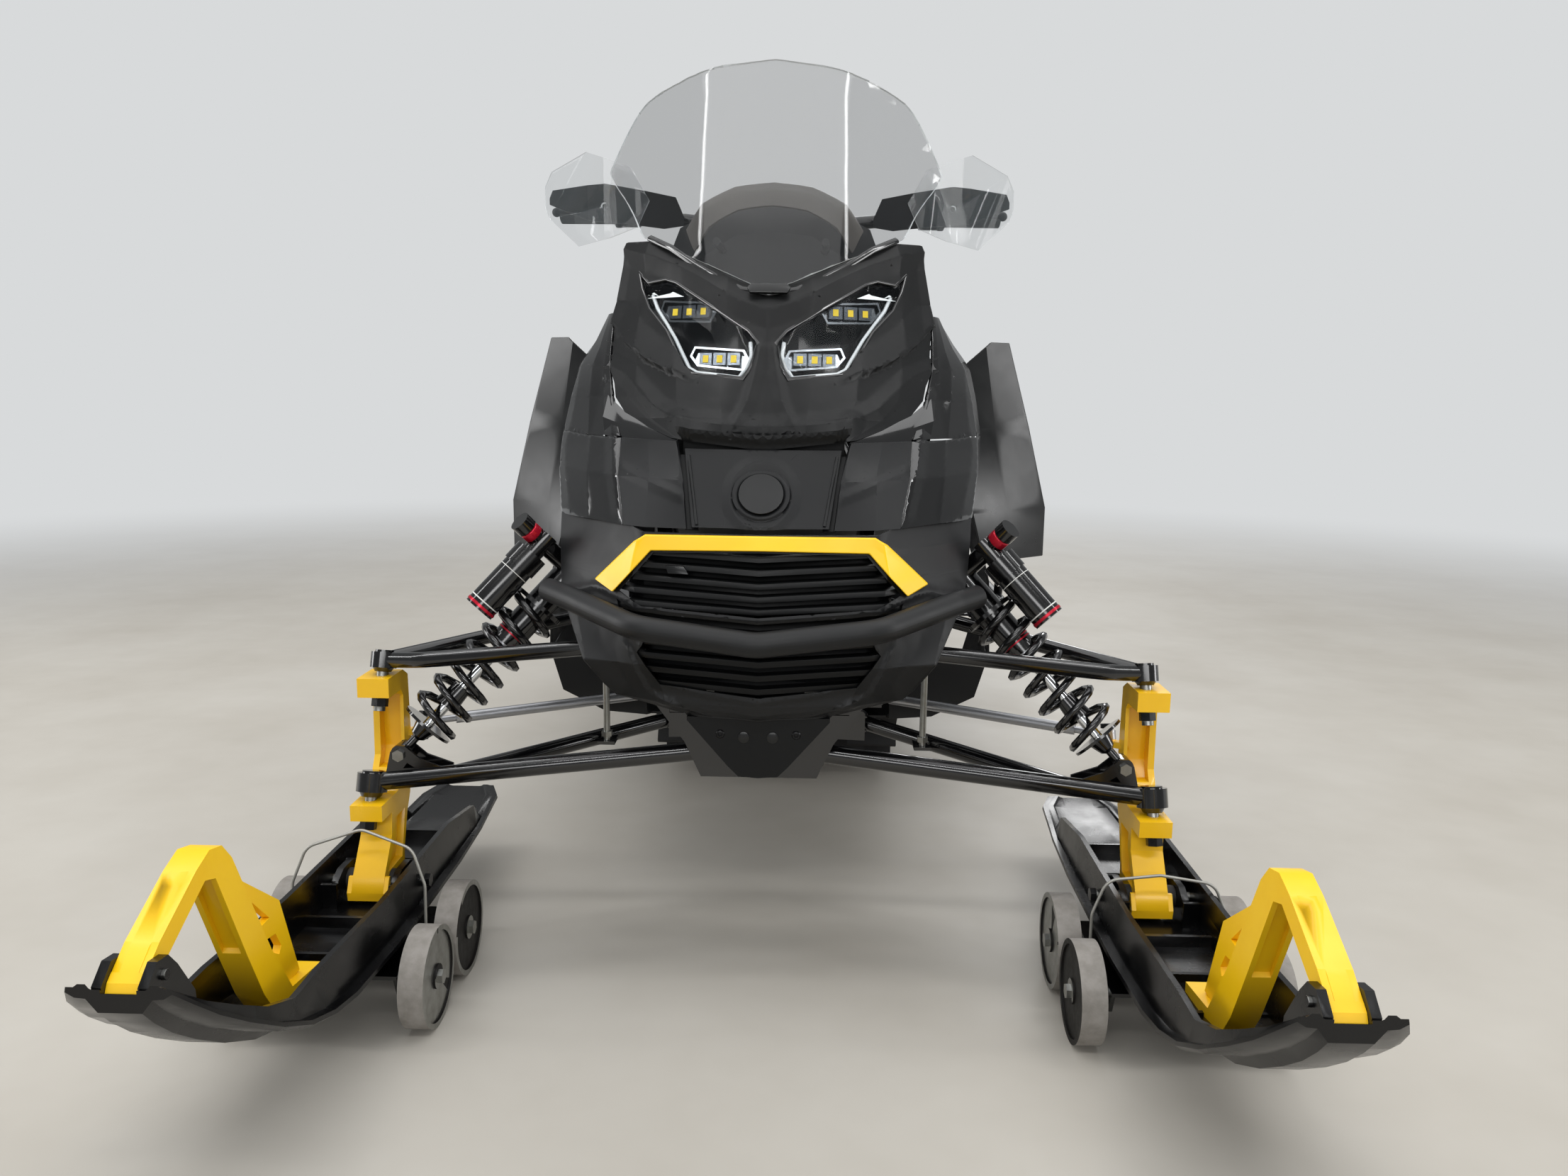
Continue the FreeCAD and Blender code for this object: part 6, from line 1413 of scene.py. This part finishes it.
@dataclass
class Camera:
    """The photograph's viewpoint, as fitted to the wheels, ball joints and ski tips."""

    position: Point = (0.0636, -2.6066, 0.8216)
    yaw_deg: float = -1.232
    pitch_deg: float = 9.747
    roll_deg: float = 0.735
    focal_px: float = 1654.7
    frame_px: float = 2212.0
    sensor_mm: float = 36.0

    def build(self) -> None:
        """Make the camera and point it."""
        yaw, pitch, roll = (math.radians(a) for a in (self.yaw_deg, self.pitch_deg, self.roll_deg))
        ahead = Vector((math.sin(yaw) * math.cos(pitch), math.cos(yaw) * math.cos(pitch), -math.sin(pitch)))
        level = ahead.cross(Vector((0, 0, 1))).normalized()
        rise = level.cross(ahead).normalized()
        right = level * math.cos(roll) + rise * math.sin(roll)
        up = rise * math.cos(roll) - level * math.sin(roll)
        data = bpy.data.cameras.new("camera")
        data.sensor_width = self.sensor_mm
        data.lens = self.focal_px / self.frame_px * self.sensor_mm
        data.clip_end = 200.0
        camera = bpy.data.objects.new("camera", data)
        turn = Matrix((right, up, -ahead)).transposed().to_4x4()
        camera.matrix_world = Matrix.Translation(self.position) @ turn
        bpy.context.scene.collection.objects.link(camera)
        bpy.context.scene.camera = camera


@dataclass
class Studio:
    """Pale floor, pale surroundings and soft lamps."""

    floor_half: float = 30.0
    fade_from: float = 2.0
    fade_to: float = 6.5
    room_colour: str = "#d8dadb"
    sky_strength: float = 0.42

    def build(self) -> None:
        """Make the floor, the world and the lamps."""
        self.floor()
        self.world()
        for name, place, aim, size, watts in (
                ("ceiling", (0.0, -0.4, 4.2), (0.0, 0.0, 0.4), (6.0, 5.0), 130.0),
                ("tube ahead", (0.0, -3.6, 3.4), (0.0, -0.6, 0.5), (3.4, 0.22), 42.0),
                ("tube left", (2.6, -1.2, 3.4), (0.0, -0.4, 0.5), (0.22, 3.4), 34.0),
                ("tube right", (-2.6, -1.2, 3.4), (0.0, -0.4, 0.5), (0.22, 3.4), 34.0),
                ("left window", (4.6, -1.4, 1.5), (0.0, -0.4, 0.6), (1.2, 2.0), 55.0),
                ("right window", (-4.6, -0.6, 1.5), (0.0, -0.2, 0.6), (1.6, 2.0), 70.0),
                ("front window", (0.0, -6.4, 2.3), (0.0, -0.8, 0.6), (5.0, 1.0), 95.0),
                ("rear", (0.8, 5.2, 2.8), (0.0, 1.0, 0.6), (3.0, 1.2), 90.0)):
            self.lamp(name, Vector(place), Vector(aim), size, watts)

    def floor(self) -> None:
        """Make the plain pale floor."""
        mesh = bmesh.new()
        bmesh.ops.create_grid(mesh, x_segments=1, y_segments=1, size=self.floor_half)
        data = bpy.data.meshes.new("floor")
        mesh.to_mesh(data)
        mesh.free()
        floor = bpy.data.objects.new("floor", data)
        bpy.context.scene.collection.objects.link(floor)
        data.materials.append(self.fading(SHELF.take(CONCRETE)))

    def fading(self, material: bpy.types.Material) -> bpy.types.Material:
        """Let a floor's far part pass into the pale room.

        Args:
            material: The floor's finish.

        Returns:
            The same material, which glows like the room beyond the fading ring.
        """
        tree = material.node_tree
        out = next(node for node in tree.nodes if node.bl_idname == "ShaderNodeOutputMaterial")
        near = out.inputs["Surface"].links[0].from_socket
        place = add_node(tree, "ShaderNodeTexCoord").outputs["Object"]
        off = add_node(tree, "ShaderNodeVectorMath", {0: place}, operation="LENGTH")
        share = add_node(tree, "ShaderNodeMapRange", {
            "Value": off.outputs["Value"], "From Min": self.fade_from, "From Max": self.fade_to},
            interpolation_type="SMOOTHSTEP")
        far = add_node(tree, "ShaderNodeEmission", {"Color": linear(self.room_colour)})
        both = add_node(tree, "ShaderNodeMixShader", {
            0: share.outputs["Result"], 1: near, 2: far.outputs["Emission"]})
        tree.links.new(both.outputs["Shader"], out.inputs["Surface"])
        return material

    def world(self) -> None:
        """Make the even room light, which the camera and rays through glass see as a pale room."""
        world = bpy.data.worlds.new("room")
        bpy.context.scene.world = world
        world.use_nodes = True
        tree = world.node_tree
        tree.nodes.clear()
        ray = add_node(tree, "ShaderNodeLightPath")
        seen = add_node(tree, "ShaderNodeMath", {
            0: ray.outputs["Is Camera Ray"], 1: ray.outputs["Is Transmission Ray"]}, operation="MAXIMUM")
        strength = add_node(tree, "ShaderNodeMapRange", {
            "Value": seen.outputs["Value"], "To Min": self.sky_strength, "To Max": 1.0})
        back = add_node(tree, "ShaderNodeBackground", {
            "Color": linear(self.room_colour), "Strength": strength.outputs["Result"]})
        add_node(tree, "ShaderNodeOutputWorld", {"Surface": back.outputs["Background"]})

    def lamp(self, name: str, place: Vector, aim: Vector, size: tuple[float, float], watts: float) -> None:
        """Add one soft rectangular lamp.

        Args:
            name: The lamp's name.
            place: Where it hangs.
            aim: The point that it faces.
            size: Its width and height in metres.
            watts: Its power.
        """
        data = bpy.data.lights.new(name, "AREA")
        data.shape = "RECTANGLE"
        data.size, data.size_y = size
        data.energy = watts
        lamp = bpy.data.objects.new(name, data)
        turn = (aim - place).to_track_quat("-Z", "Y").to_matrix().to_4x4()
        lamp.matrix_world = Matrix.Translation(place) @ turn
        bpy.context.scene.collection.objects.link(lamp)


def dress_nodes(shop: Workshop) -> None:
    """Give every CAD node its finish, and round the edges of the moulded ones.

    Args:
        shop: The frame and its helpers.
    """
    for node, thing in list(shop.frame["nodes"].items()):
        if node in SOFTENED_MM:
            shop.dressed(node, NODE_FINISHES[node], bevel_mm=SOFTENED_MM[node])
        elif node not in SHAPED:
            shop.paint(thing, NODE_FINISHES[node])
            thing.data.shade_smooth()
            thing.data.set_sharp_from_angle(angle=math.radians(PLAIN_SMOOTH_DEG))
    LOG.info("dressed %d nodes", len(NODE_FINISHES))


def main() -> None:
    """Build the studio and every piece."""
    logging.basicConfig(level=logging.INFO, format="%(name)s: %(message)s")
    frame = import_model()
    bpy.context.scene.view_settings.view_transform = "Standard"
    Camera().build()
    Studio().build()
    shop = Workshop(frame)
    dress_nodes(shop)
    for assembly in (BodyPanels(), Headlamps(), ClearScreens(), NoseDetails(), ShockDress(), DollyWheels(),
                     SkiHardware(), Cockpit(), SeatCushion()):
        assembly.build(shop)
        LOG.info("built %s", type(assembly).__name__)


if __name__ == "__main__":
    main()
